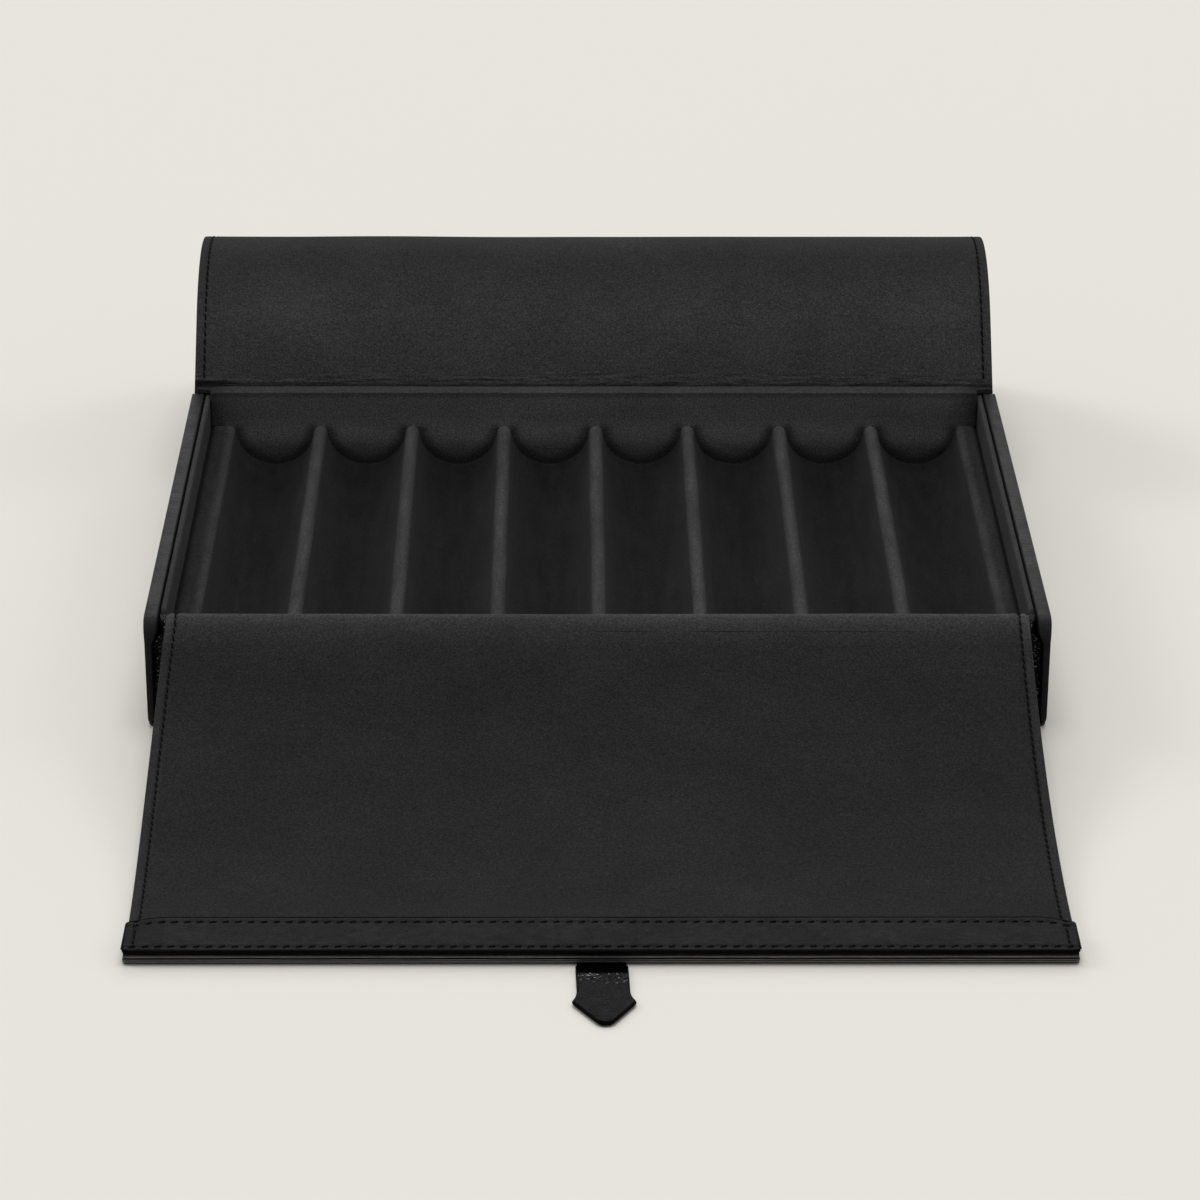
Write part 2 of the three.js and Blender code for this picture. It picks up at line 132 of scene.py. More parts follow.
# how far a point lies inside the nearest of a row of equal arcs, from 0 just outside the arc to 1 at depth
def addArcs(tree, pitch, middle, level, radius, outside, depth):
    values = {0: objectSpot(tree), 1: (middle * mm, 0, level * mm)}
    spot = addNode(tree, "VectorMath", values, operation="SUBTRACT").outputs[0]
    split = addNode(tree, "SeparateXYZ", {"Vector": spot})
    values = {0: split.outputs["X"], 1: pitch / 2 * mm}
    across = addNode(tree, "Math", values, operation="PINGPONG").outputs[0]
    spot = addNode(tree, "CombineXYZ", {"X": across, "Z": split.outputs["Z"]}).outputs["Vector"]
    away = addNode(tree, "VectorMath", {0: spot}, operation="LENGTH").outputs["Value"]
    values = {"Value": away, "From Min": (radius + outside) * mm, "From Max": (radius - depth) * mm}
    return addNode(tree, "MapRange", values).outputs["Result"]


def shades(tone, dark, pale):
    return tuple(dark * c for c in tone), tuple(pale * c for c in tone)


suede = {"grain": 2200, "tufts": 700, "clouds": 70, "patches": 24, "creaseShade": (210, 2600, 2600),
    "rough": .95, "shine": .02, "sheen": .05, "sheenTint": (.72, .72, .74, 1)}
calf = {"pores": 1150, "patches": 60, "polish": 340, "glintDraw": (1400, 2300, 2300)}


# zones are (axis, low, high, mirrored, stops): the colour is paler or darker along that axis, mostly painted light
# and shade
# creases is one such zone, where painted shade lies in dark lines across the folds, with painted highlight between
# them
# arcs is (row, stops, low, high): painted shade along a row of arcs, which fades out from low up to high
def makeSuede(name, tone, zones=(), creases=None, nap=(160, 950, 950), napDepth=.06, arcs=None):
    finish, tree, shader = startFinish(name)
    dark, pale = shades(tone, .92, 1.08)
    grain = addNoise(tree, suede["grain"], 2, .7)
    tufts = addNoise(tree, suede["tufts"], 3, .6)
    colour = addRamp(addNoise(tree, suede["patches"], 2), [(.3, dark), (.7, pale)])
    colour = multiply(colour, addNoise(tree, suede["clouds"], 3), [(.3, .92), (.7, 1.08)])
    colour = multiply(colour, tufts, [(.3, .94), (.7, 1.06)])
    colour = multiply(colour, addNoise(tree, 1, 3, .6, nap), [(.3, 1 - napDepth), (.7, 1 + napDepth)])
    colour = multiply(colour, grain, [(.3, .52), (.5, 1), (.7, 1.65)])
    for zone in zones:
        colour = addMix("MULTIPLY", colour, addZone(tree, *zone))
    if creases:
        lines = addNoise(tree, 1, 3, .65, suede["creaseShade"])
        colour = multiply(colour, lines, [(.36, .35), (.46, 1.0), (.58, 1.1), (.7, 1.9)])
        setInputs(colour.node, {0: addZone(tree, *creases)})
    if arcs:
        row, stops, low, high = arcs
        colour = multiply(colour, addArcs(tree, *row), stops)
        setInputs(colour.node, {0: addZone(tree, "Z", low, high, False, [(0, 1.0), (1, 0.0)])})
    relief = addBump(grain, .4, .0003, addBump(tufts, .15, .0005))
    setInputs(shader, {"Base Color": colour, "Normal": relief, "Roughness": suede["rough"],
        "Specular IOR Level": suede["shine"], "Sheen Weight": suede["sheen"],
        "Sheen Roughness": .5, "Sheen Tint": suede["sheenTint"]})
    return finish


# zones as above; one more zone marks where pale specks are painted on as glints of light
def makeLeather(name, tone, gloss, grain, shine, zones=(), glints=None, drawn=(260, 900, 900)):
    finish, tree, shader = startFinish(name)
    values = {"Vector": objectSpot(tree), "Scale": calf["pores"], "Randomness": 1}
    pores = addNode(tree, "TexVoronoi", values, feature="DISTANCE_TO_EDGE").outputs["Distance"]
    streaks = addNoise(tree, 1, 4, .6, drawn)  # grain drawn out across the case
    dark, pale = shades(tone, .84, 1.16)
    colour = addRamp(addNoise(tree, calf["patches"], 3), [(.3, dark), (.7, pale)])
    colour = multiply(colour, streaks, [(.25, .74), (.75, 1.3)])
    colour = multiply(colour, pores, [(0, .7), (.14, 1.0)])
    shines = shine
    for *span, stops in zones:
        colour = addMix("MULTIPLY", colour, addZone(tree, *span, stops))
        shines = addZone(tree, *span, [(at, shine * share) for at, share in stops])
    if glints:
        spots = addRamp(addNoise(tree, 1, 2, .6, calf["glintDraw"]), [(.6, 0.0), (.68, .4)])
        colour = addMix("ADD", colour, addMix("MULTIPLY", spots, addZone(tree, *glints)))
    polish = addRamp(addNoise(tree, calf["polish"], 3, .6), [(.25, gloss - .09), (.75, gloss + .1)])
    relief = addBump(addRamp(pores, [(0, .0), (.16, 1.0)]), grain * .5, .00018)
    relief = addBump(streaks, grain, .0003, relief)
    setInputs(shader, {"Base Color": colour, "Specular IOR Level": shines, "Roughness": polish, "Normal": relief})
    return finish


def makePaint(name):
    finish, tree, shader = startFinish(name)
    setInputs(shader, {"Base Color": addRamp(addNoise(tree, 500, 3), [(.3, .0018), (.75, .0038)]),
        "Roughness": addRamp(addNoise(tree, 260, 2), [(.3, .42), (.7, .6)]),
        "Normal": addBump(addNoise(tree, 900, 2), .12, .0003), "Specular IOR Level": .015})
    return finish


def makeFibre(name, tone, scale, stretch=None, shine=.1):
    finish, tree, shader = startFinish(name)
    dark, pale = shades(tone, .7, 1.3)
    fibres = addNoise(tree, scale, 3, .7, stretch)
    setInputs(shader, {"Base Color": addRamp(fibres, [(.25, dark), (.75, pale)]),
        "Normal": addBump(fibres, .35, .0003), "Roughness": .8, "Specular IOR Level": shine})
    return finish


rearFinish = makeSuede("rearSuedeNap", (.0315, .0315, .032), [
    ("Z", 30, 57.5, False, [(0, 1.16), (.15, 1.2), (.55, 1.46), (.73, 1.16), (.95, .75)]),  # painted light, palest halfway up, with painted shade over the roll at the top
    ("Y", 83.35, 83.9, False, [(0, .5), (.6, .72), (1, 1.0)])],  # painted shade in the fold at its foot
    # painted shade in the wrinkles above the fold, painted highlight on their ridges
    creases=("Y", 82.6, 87, False, [(0, 1.0), (.4, .8), (1, 0.0)]))
frontFinish = makeSuede("frontSuedeNap", (.0178, .0178, .018), [
    ("Y", -100, -80, False, [(0, .97), (.5, 1.1), (.8, 1.65), (1, 2.55)]),  # painted light, paler where it folds over the rim
    ("X", 102.1, 102.9, True, [(0, 1.0), (1, 1.35)])])  # also paler outside the stitching
wallFinish = makeSuede("wallSuedeNap", (.034, .034, .0345))
bedFinish = makeSuede("bedSuedeNapAndPaintedLight", (.024, .024, .0243), [
    ("Z", 9, 20.2, False, [(0, .39), (.55, .43), (.87, .56), (.94, 1.36), (1, 1.62)]),  # painted shade down in the channels, painted highlight along the ridges
    # painted shade on the ledges beside both end walls, darkest in the gaps by the walls
    ("X", -105.3, -98.6, False, [(0, .08), (.14, .12), (.24, .34), (.6, .38), (.75, .58), (1, 1.0)]),
    ("X", 99.2, 105.3, False, [(0, 1.0), (.3, .72), (.45, .46), (.76, .42), (.86, .12), (1, .08)]),
    ("Y", 62, 76.4, False, [(0, 1.0), (.6, 1.22), (.8, 1.6), (.9, 2.3), (.97, 3.4)])],  # painted highlight along the lip at the back
    nap=(300, 42, 300), napDepth=.22)
endFinish = makeLeather("endCalf", (.0165, .0165, .0168), gloss=.5, grain=.5, shine=.06, zones=[
    ("Z", 21.5, 27.2, False, [(0, 1.05), (.5, 1.05), (1, 1.02)])])  # a trace darker at the top
leatherFinish = makeLeather("flapCalf", (.0125, .0125, .0127), gloss=.5, grain=.5, shine=.1)
cornerFinish = makeLeather("wallCalf", (.0085, .0085, .0087), gloss=.5, grain=.8, shine=.06,
    # painted glints on the crinkled leather in the front corners
    glints=("X", 102.6, 103.6, True, [(0, 0.0), (1, 1.0)]))
bandFinish = makeLeather("bandCalf", (.0147, .0147, .0149), gloss=.55, grain=.6, shine=.02, drawn=(560, 640, 640))
tabFinish = makeLeather("tabCalf", (.0083, .0083, .0085), gloss=.5, grain=.7, shine=.02,
    zones=[("Y", -216.9, -216.1, False, [(0, 1.0), (1, .06)])],  # painted shadow of the band over the tab's root
    # painted glints along the crease near the tab's root
    glints=("Y", -222, -216.3, False, [(0, 0.0), (.35, .5), (.7, 1.0), (.97, 1.0), (1, 0.0)]))
paintFinish = makePaint("edgePaint")
cutFinish = makeFibre("cutEdge", (.125, .124, .122), 1, (420, 2600, 2600))
threadFinish = makeFibre("blackThread", (.0026, .0026, .0027), 1800, shine=.05)
boardFinish = makeFibre("greyBoard", (.19, .18, .165), 700)
blockFinish = makeFibre("fibreBlock", (.24, .23, .2), 500)
print("finishes made")


# mesh helpers

sharpAngle = 48  # faces that meet more sharply keep their edge
quarter = [pi / 2 * k / 4 for k in range(5)]  # a rounded edge in four steps


def clamp(value):
    return min(1, max(0, value))


def ease(value):
    share = clamp(value)
    return share * share * (3 - 2 * share)


def bell(value, width):
    return exp(-((value / width) ** 2))


# half the width of a strip, gap away from a rounded end
def roundedHalf(half, radius, gap):
    return half if gap >= radius else half - radius + sqrt(max(0, radius ** 2 - (radius - gap) ** 2))


def around(sides):
    return [2 * pi * k / sides for k in range(sides)]


def wobble(a, b, c):
    return noise.noise(Vector((a, b, c)))


def evenSteps(first, last, step):
    count = max(1, ceil((last - first) / step - 1e-6))
    return [first + (last - first) * i / count for i in range(count + 1)]


def makeMesh(name, points, faces, finishes, faceFinish=None):
    mesh = bpy.data.meshes.new(name)
    mesh.from_pydata([[v * mm for v in p] for p in points], [], faces)
    for finish in finishes:
        mesh.materials.append(finish)
    if faceFinish:
        mesh.polygons.foreach_set("material_index", faceFinish)
    build = bmesh.new()
    build.from_mesh(mesh)
    bmesh.ops.recalc_face_normals(build, faces=build.faces)
    build.to_mesh(mesh)
    build.free()
    mesh.polygons.foreach_set("use_smooth", [True] * len(mesh.polygons))
    mesh.set_sharp_from_angle(angle=radians(sharpAngle))
    piece = bpy.data.objects.new(name, mesh)
    scene.collection.objects.link(piece)
    return piece


# faces between rings of points, and one at each end
def joinRings(faces, start, rings, sides):
    for here in range(start, start + (rings - 1) * sides, sides):
        for k in range(sides):
            n = (k + 1) % sides
            faces.append((here + k, here + n, here + sides + n, here + sides + k))
    for end in (start, start + (rings - 1) * sides):
        faces.append(tuple(range(end, end + sides)))


# walks straight and bent stretches (length, heading, turn) in a plane
def makeLine(start, stretches, side):
    def at(along, depth=0.0):
        a, b = start
        rest = along
        heading = 0
        for n, (length, angle, turn) in enumerate(stretches):
            part = rest if n == len(stretches) - 1 else min(rest, length)
            heading = radians(angle)
            if abs(turn) < 1e-6:
                a += part * cos(heading)
                b += part * sin(heading)
            else:
                bend = radians(turn) / length
                after = heading + bend * part
                a += (sin(after) - sin(heading)) / bend
                b += (cos(heading) - cos(after)) / bend
                heading = after
            rest -= part
            if rest <= 1e-9:
                break
        return a + side * sin(heading) * depth, b - side * cos(heading) * depth, heading
    return at


# a closed sheet that follows a line, with rounded side edges and, where asked, rounded ends
def makeSheet(name, finishes, line, rows, halfWidth, top, bottom, edge, columns, nearEdge=(), puff=None, sag=None,
        roundEnds=(False, False), shift=None, dip=None, toPoint=None):
    toPoint = toPoint or (lambda across, a, b: (across, a, b))
    first, last = rows[0], rows[-1]
    rows = list(rows)
    for ended, end, way in ((roundEnds[0], first, 1), (roundEnds[1], last, -1)):
        if ended:
            rows += [end + way * edge * (1 - cos(t)) for t in quarter[1:]]
    rows = sorted(set(round(r, 5) for r in rows))
    offsets = [(edge * (1 - cos(t)), edge * (1 - sin(t))) for t in quarter] + [(e, 0) for e in nearEdge]
    deepest = offsets[-1][0]
    middle = [-1 + 2 * i / columns for i in range(1, columns)]
    points, loops = [], []
    for s in rows:
        half = halfWidth(s)
        span = [(-half + e, inset) for e, inset in offsets]
        span += [(f * (half - deepest), 0) for f in middle]
        span += [(half - e, inset) for e, inset in reversed(offsets)]
        shrink = 0
        for ended, gap in ((roundEnds[0], s - first), (roundEnds[1], last - s)):
            if ended and gap < edge:
                shrink = max(shrink, edge - sqrt(max(0, edge * edge - (edge - gap) ** 2)))
        over, under = [], []
        for x, inset in span:
            taper = (1 - inset / edge) * (1 - shrink / edge)
            moved = s + (shift(s, x) if shift else 0)
            low = dip(s, x) if dip else 0
            rise = puff(s, x) * taper if puff else 0
            drop = sag(s, x) * taper if sag else 0
            over.append(toPoint(x, *line(moved, top + low + max(inset, shrink) - rise)[:2]))
            under.append(toPoint(x, *line(moved, bottom + low - max(inset, shrink) + drop)[:2]))
        loops.append(len(points))
        points += over + under[::-1]
    width = len(offsets) * 2 + len(middle)
    ring = 2 * width
    faces, kinds = [], []
    painted = 1 if len(finishes) > 1 else 0
    for here, there in zip(loops, loops[1:]):
        for k in range(ring):
            n = (k + 1) % ring
            faces.append((here + k, here + n, there + n, there + k))
            column = k if k < width else ring - 1 - k
            side = k in (width - 1, ring - 1) or min(column, width - 1 - column) < 2
            kinds.append(painted if side else 0)
    for cap in (loops[0], loops[-1]):
        for k in range(width - 1):
            faces.append((cap + k, cap + k + 1, cap + ring - 2 - k, cap + ring - 1 - k))
            kinds.append(painted)
    return makeMesh(name, points, faces, finishes, kinds)


# a rounded plate: outlines stacked along the thickness, with a slight crown on both faces
def makePlate(name, finishes, low, high, radii, thickness, edges, crown, toPoint, foot=0):
    cornerSteps = 6

    def outline(inset):
        corners = ((low[0], low[1]), (high[0], low[1]), (high[0], high[1]), (low[0], high[1]))
        signs = ((1, 1), (-1, 1), (-1, -1), (1, -1))
        made = []
        for n, ((u, v), (su, sv), radius) in enumerate(zip(corners, signs, radii)):
            r = max(radius - inset, .05)
            cu, cv = u + su * (inset + r), v + sv * (inset + r + (foot * min(inset, edges[0]) if sv > 0 else 0))
            begin = pi + n * pi / 2
            for k in range(cornerSteps + 1):
                t = begin + pi / 2 * k / cornerSteps
                made.append((cu + r * cos(t), cv + r * sin(t)))
        return made

    reach = min(high[0] - low[0], high[1] - low[1]) / 2
    inner = [reach * f for f in (.9, .6, .3, .17)]
    stack = [(i, -crown * (1 - (1 - i / reach) ** 2)) for i in inner if i > edges[0]]
    stack += [(edges[0] * (1 - sin(t)), edges[0] * (1 - cos(t))) for t in quarter]
    stack += [(edges[1] * (1 - cos(t)), thickness - edges[1] * (1 - sin(t))) for t in quarter]
    stack += [(i, thickness + crown * (1 - (1 - i / reach) ** 2)) for i in reversed(inner) if i > edges[1]]
    points, faces = [], []
    for inset, level in stack:
        points += [toPoint(u, v, level) for u, v in outline(inset)]
    joinRings(faces, 0, len(stack), 4 * (cornerSteps + 1))
    return makeMesh(name, points, faces, finishes)


stitch = {"pitch": 2.45, "length": 2.15, "thick": .44, "rise": .1, "sink": -.02, "slant": 7, "level": .1}
bandStitch = dict(stitch, pitch=2.85, length=1.75, slant=24)


# thread dashes that dip into the hide at both ends, each (centre, along, up, cut)
def makeStitches(name, dashes):
    points, faces = [], []
    steps, sides = 8, 7
    for centre, along, up, cut in dashes:
        along, up, centre = Vector(along).normalized(), Vector(up).normalized(), Vector(centre)
        along = Matrix.Rotation(radians(cut["slant"]), 3, up) @ along
        across = along.cross(up)
        start = len(points)
        for i in range(steps + 1):
            u = -1 + 2 * i / steps
            thick = cut["thick"] / 2 * max(.12, (1 - abs(u) ** 5) ** .5)
            middle = centre + along * (u * cut["length"] / 2) + up * (cut["rise"] * (1 - u * u) - cut["sink"])
            for t in around(sides):
                points.append(middle + across * (thick * cos(t)) + up * (thick * .8 * sin(t)))
        joinRings(faces, start, steps + 1, sides)
    return makeMesh(name, points, faces, [threadFinish])


def stitchSpots(first, last):
    spots = []
    while first < last:
        spots.append(first)
        first += stitch["pitch"]
    return spots


# dashes along both edges of a flap, on the side that way points to
def edgeDashes(line, spots, half, way, toX=lambda x, y: x):
    dashes = []
    for s in spots:
        y, z, turn = line(s, stitch["level"])
        up = (0, -way * sin(turn), way * cos(turn))
        dashes += [((toX(x, y), y, z), (0, cos(turn), sin(turn)), up, stitch) for x in (-half, half)]
    return dashes


# leather comes up a wall, bends and meets a flap: the lengths of wall, bend and flap as far as the spot
def upToFlap(y, foot, spot, heading, radius):
    meet = (spot[0] - y) / cos(radians(heading))
    tangent = radius * tan(radians(abs(heading - 90) / 2))
    up = spot[1] - meet * sin(radians(heading)) - tangent - foot
    return up, radius * radians(abs(heading - 90)), meet - tangent


# thin round lines of edge paint, each (path, wide)
def makeBeads(name, beads):
    points, faces = [], []
    sides = 6
    for path, wide in beads:
        start = len(points)
        for i, spot in enumerate(path):
            ahead = (Vector(path[min(i + 1, len(path) - 1)]) - Vector(path[max(i - 1, 0)])).normalized()
            across = ahead.cross(Vector((0, 0, 1)))
            for t in around(sides):
                points.append(Vector(spot) + across * (wide * cos(t)) + Vector((0, 0, wide * sin(t))))
        joinRings(faces, start, len(path), sides)
    return makeMesh(name, points, faces, [paintFinish])


def metres(a, b):
    return (0, a * mm, b * mm)


def jointSpot(name):
    joint = next(j for j in frame["joints"] if j["name"] == name)
    return [v / mm for v in joint["pos_m"]][1:]


def nodeBox(node):
    low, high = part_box(node)
    return [v / mm for v in low], [v / mm for v in high]


groove = {"deep": .3, "wide": .45, "swell": .06, "swellAt": 1.1, "swellWide": .6}


# the hide is drawn in along a row of stitches and swells beside it
def sewnGroove(offset):
    swell = groove["swell"] * bell(abs(offset) - groove["swellAt"], groove["swellWide"])
    return -groove["deep"] * bell(offset, groove["wide"]) + swell


# tray: end walls, their linings, floor leather

endWall = {"edges": (.4, .5), "crown": .3, "radii": (1.6, 1.6, 3, 5.5), "foot": 2.5,
    "lip": 1.6, "lipRun": 2.4, "lipFade": 1.6, "lipTop": 24.5, "lipRise": 3,
    "flare": .5, "flareFrom": 20, "flareRun": 7, "slim": 1.0, "slimFrom": 4, "slimRun": 6}
endBoard = {"edges": (.05, .05), "radii": (1, 1, 2, 2)}
endPad = {"edges": (.45, .6), "crown": .12, "radii": (.4, .4, 1.2, 2.2), "back": 82.2, "shift": .95, "thick": 1.35}
sole = {"edges": (.35, .35), "radii": (3, 3, 3, 3)}
for side, way in (("left", -1), ("right", 1)):
    low, high = nodeBox(side + "_end_cover")
    outer, wallThick, wallFront = (low[0] if way < 0 else high[0]), high[0] - low[0], low[1]

    # at the front the wall thins to a lip and leaves room for the folded corner
    def endPoint(u, v, level):
        share = clamp((wallFront + endWall["lipRun"] + endWall["lipFade"] - u) / endWall["lipFade"])
        share *= clamp((endWall["lipTop"] - v) / endWall["lipRise"])
        level *= 1 - share * (1 - endWall["lip"] / wallThick)
        level *= 1 - endWall["slim"] / wallThick * clamp((v - endWall["slimFrom"]) / endWall["slimRun"])
        flare = endWall["flare"] * clamp((v - endWall["flareFrom"]) / endWall["flareRun"])
        return outer - way * (level - flare * (1 - level / wallThick)), u, v

    wall = makePlate(side + "EndLeather", [endFinish], low[1:], high[1:], endWall["radii"], wallThick,
        endWall["edges"], endWall["crown"], endPoint, endWall["foot"])
    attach(wall, "case")
    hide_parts(side + "_end_cover")
    low, high = nodeBox(side + "_end_board")
    edge = low[0] if way < 0 else high[0]
    stiff = makePlate(side + "EndBoard", [boardFinish], (low[1] + endWall["lipRun"], low[2]), high[1:],
        endBoard["radii"], high[0] - low[0] - endWall["slim"], endBoard["edges"], 0,
        lambda u, v, level: (edge - way * level, u, v))
    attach(stiff, "case")
    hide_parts(side + "_end_board")
    low, high = nodeBox(side + "_end_lining")
    outer = (low[0] if way < 0 else high[0]) + way * endPad["shift"]
    pad = makePlate(side + "EndSuede", [wallFinish], low[1:], (endPad["back"], high[2]), endPad["radii"],
        endPad["thick"], endPad["edges"], endPad["crown"], lambda u, v, level: (outer - way * level, u, v))
    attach(pad, "case")
    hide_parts(side + "_end_lining")

low, high = nodeBox("base_cover")
base = makePlate("baseLeather", [leatherFinish], low[:2], high[:2], sole["radii"], high[2] - low[2],
    sole["edges"], 0, lambda u, v, level: (u, v, level))
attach(base, "case")
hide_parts("base_cover")
print("tray walls made")


# pen bed: suede pulled over eight half-round channels

bed = {"channels": 8, "pitch": 25.19, "ledge": 3.34, "radius": 10.682, "ridge": 2.0,
    "thick": .95, "endEdge": .45, "offCentre": .45, "spill": 1.1, "wave": .16, "fineWave": .05,
    "endSink": .5, "endRun": 2.2, "sideSink": .9, "sideRun": 1.6, "blockGap": .05, "blockShort": 1}
low, high = nodeBox("bed_lining")
bedMiddle = (low[1] + high[1]) / 2
lean = degrees(asin(bed["pitch"] / 2 / (bed["radius"] + bed["ridge"])))
halfRidge = bed["ridge"] * radians(lean)
bedStretches = [(bed["ledge"] + bed["spill"] + bed["offCentre"], 0, 0), (halfRidge, 0, -lean)]
for channel in range(bed["channels"]):
    bedStretches.append((bed["radius"] * radians(2 * lean), -lean, 2 * lean))
    bedStretches.append((bed["ridge"] * radians(2 * lean), lean, -2 * lean))
bedStretches[-1] = (halfRidge, lean, -lean)
bedStretches.append((bed["ledge"] + bed["spill"] - bed["offCentre"], 0, 0))
bedLength = sum(s[0] for s in bedStretches)
bedLine = makeLine((low[0] - bed["spill"], high[2]), bedStretches, 1)
bedHalf = (high[1] - low[1]) / 2
firstRidge = low[0] + bed["ledge"] + bed["offCentre"]
channelLevel = high[2] - bed["ridge"] + (bed["radius"] + bed["ridge"]) * cos(radians(lean))


def bedSink(s):
    return bed["sideSink"] * max(0, 1 - min(s, bedLength - s) / bed["sideRun"]) ** 2


def bedWave(s, x):
    toEnd = bedHalf - abs(x)
    soft = wobble(s / 13, x / 38, 3) * bed["wave"] + wobble(s / 4, x / 9, 8) * bed["fineWave"]
    return soft * min(1, toEnd / 6) - bed["endSink"] * max(0, 1 - toEnd / bed["endRun"]) ** 2 - bedSink(s)


bedSuede = makeSheet("bedSuede", [bedFinish], bedLine, evenSteps(0, bedLength, 1.05), lambda s: bedHalf, 0,
    bed["thick"], bed["endEdge"], 44, (1, 1.7, 2.6), bedWave,
    toPoint=lambda across, a, b: (a, across + bedMiddle, b))
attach(bedSuede, "case")
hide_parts("bed_lining")

# firm block under the suede
low, high = nodeBox("bed_core")
blockEnds = low[1] + bed["blockShort"], high[1] - bed["blockShort"]
points, faces = [], []
blockSpots = evenSteps(0, bedLength, 1.0)
for s in blockSpots:
    a, b, heading = bedLine(s, bed["thick"] + bed["blockGap"])
    b -= bedSink(s)
    points += [(a, blockEnds[0], b), (a, blockEnds[1], b), (a, blockEnds[1], low[2]), (a, blockEnds[0], low[2])]
joinRings(faces, 0, len(blockSpots), 4)
block = makeMesh("bedBlock", points, faces, [blockFinish])
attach(block, "case")
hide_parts("bed_core")
print("pen bed made")


# rear flap: leans back, rolls over and falls to the table

rear = {"lean": 50, "root": 21, "rollRadius": 36, "tip": 70, "leaves": 5, "length": 131.154, "corner": 6,
    "lining": .9, "depth": 1.9, "margin": 2.5, "step": 1.3, "under": .9, "rootStep": .35,
    "firstStitch": 4.2, "fold": 6.0, "wallBend": 4.0, "liningEdge": .28, "hideEdge": .3, "wave": .3,
    "nearSewn": (.6, 1.0, 1.4, 1.8, 2.2, 2.5, 2.8, 3.1, 3.5, 4.2)}
foldWear = {"at": 2.6, "wide": 2.0, "crease": .26, "fineCrease": .16, "lip": .75, "hollow": .5, "lipRun": 13}
rearHinge = jointSpot("rear_hinge")
rearRoll = rear["rollRadius"] * radians(rear["lean"] + rear["tip"])
rearTail = rear["length"] - rear["root"] - rearRoll
rearStretches = [(rear["root"], rear["lean"], 0), (rearRoll, rear["lean"], -rear["lean"] - rear["tip"]),
    (rearTail, -rear["tip"], 0)]
rearLine = makeLine(rearHinge, rearStretches, 1)
caseHalf = nodeBox("rear_flap_lining_1")[1][0]
wallLow, wallHigh = nodeBox("rear_wall_cover")
leafRoll = rearRoll / (rear["leaves"] - 1)
rearCuts = [rear["root"] + leafRoll * i for i in range(rear["leaves"])]  # middles of the leaves' bends
rearBodies = ["case"] + ["rear_leaf_%d" % (i + 1) for i in range(rear["leaves"])]


def rearHalf(s):
    return roundedHalf(caseHalf, rear["corner"], rear["length"] - s)


def rearWave(s, x):
    return wobble(x / 42, s / 34, 1) * rear["wave"] * clamp(s / 14)


# creased along the fold, with a small lip at its left end
def rearPuff(s, x):
    lift = sewnGroove(abs(x) - caseHalf + rear["margin"]) if s > 3 else 0
    lift += sewnGroove(s - rear["length"] + rear["margin"]) if abs(x) < caseHalf - rear["margin"] else 0
    creases = wobble(x / 8, s / .9, 5) * foldWear["crease"] + wobble(x / 4, s / .7, 2) * foldWear["fineCrease"]
    corner = clamp((-x - caseHalf + foldWear["lipRun"]) / 9)
    lip = corner * (foldWear["lip"] * bell(s - 2.4, .55) - foldWear["hollow"] * bell(s - 1.3, .45))
    return lift + bell(s - foldWear["at"], foldWear["wide"]) * creases + rearWave(s, x) + lip


def joinRear(piece, number):
    if number < rear["leaves"]:
        if number == 0:
            begin, end = rearLine(0), rearLine(rear["fold"])
        else:
            begin, end = rearLine(rearCuts[number - 1]), rearLine(rearCuts[number])
        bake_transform(piece)
    else:
        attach(piece, rearBodies[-1])


# the leather comes up the rear wall before it becomes the flap
backY, backFoot = wallHigh[1], wallLow[2]
upWall, bendRun, flapRun = upToFlap(backY, backFoot, rearLine(0, rear["depth"]), rear["lean"], rear["wallBend"])
backStretches = [(upWall, 90, 0), (bendRun, 90, rear["lean"] - 90), (60, rear["lean"], 0)]
backLine = makeLine((backY, backFoot), backStretches, 1)
backRootEnd = upWall + bendRun + flapRun + rear["root"]


def backHalf(s):
    return wallHigh[0] + (caseHalf - wallHigh[0]) * ease((s - upWall - .6) / 2.6)


rearEnds = [0] + rearCuts + [rear["length"]]
rearSpots = stitchSpots(rear["firstStitch"], rear["length"] - rear["margin"] - 1)
for number in range(rear["leaves"] + 1):
    first, last = rearEnds[number], rearEnds[number + 1]
    tip = number == rear["leaves"]
    rows = evenSteps(first if number else -rear["under"], last, rear["step"] if number else rear["rootStep"])
    lining = makeSheet("rearSuede%d" % number, [rearFinish, paintFinish], rearLine, rows, rearHalf, 0,
        rear["lining"], rear["liningEdge"], 96, rear["nearSewn"], rearPuff, roundEnds=(False, tip))
    joinRear(lining, number)
    if number == 0:
        hide = makeSheet("rearWallLeather", [leatherFinish, paintFinish], backLine, evenSteps(0, backRootEnd, 1.2),
            backHalf, -(rear["depth"] - rear["lining"]), 0, rear["hideEdge"], 60, (1, 2, 3))
    else:
        hide = makeSheet("rearLeather%d" % number, [leatherFinish, paintFinish], rearLine, rows, rearHalf,
            rear["lining"], rear["depth"], rear["hideEdge"], 60, (1, 2, 3), sag=lambda s, x: -.3 * rearWave(s, x),
            roundEnds=(False, tip))
    joinRear(hide, number)
    if number == 0:
        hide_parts("rear_flap_lining_1")
        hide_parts("rear_wall_cover", "rear_flap_cover_1")
    elif number > 1:
        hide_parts("rear_flap_lining_%d" % number)
        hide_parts("rear_flap_cover_%d" % number)
    inset = caseHalf - rear["margin"]
    dashes = edgeDashes(rearLine, [s for s in rearSpots if first <= s < last], inset, 1)
    if tip:
        y, z, turn = rearLine(rear["length"] - rear["margin"], stitch["level"])
        for x in evenSteps(-inset + 2, inset - 2, stitch["pitch"]):
            dashes.append(((x, y, z), (1, 0, 0), (0, -sin(turn), cos(turn)), stitch))
    sewn = makeStitches("rearStitches%d" % number, dashes)
    joinRear(sewn, number)

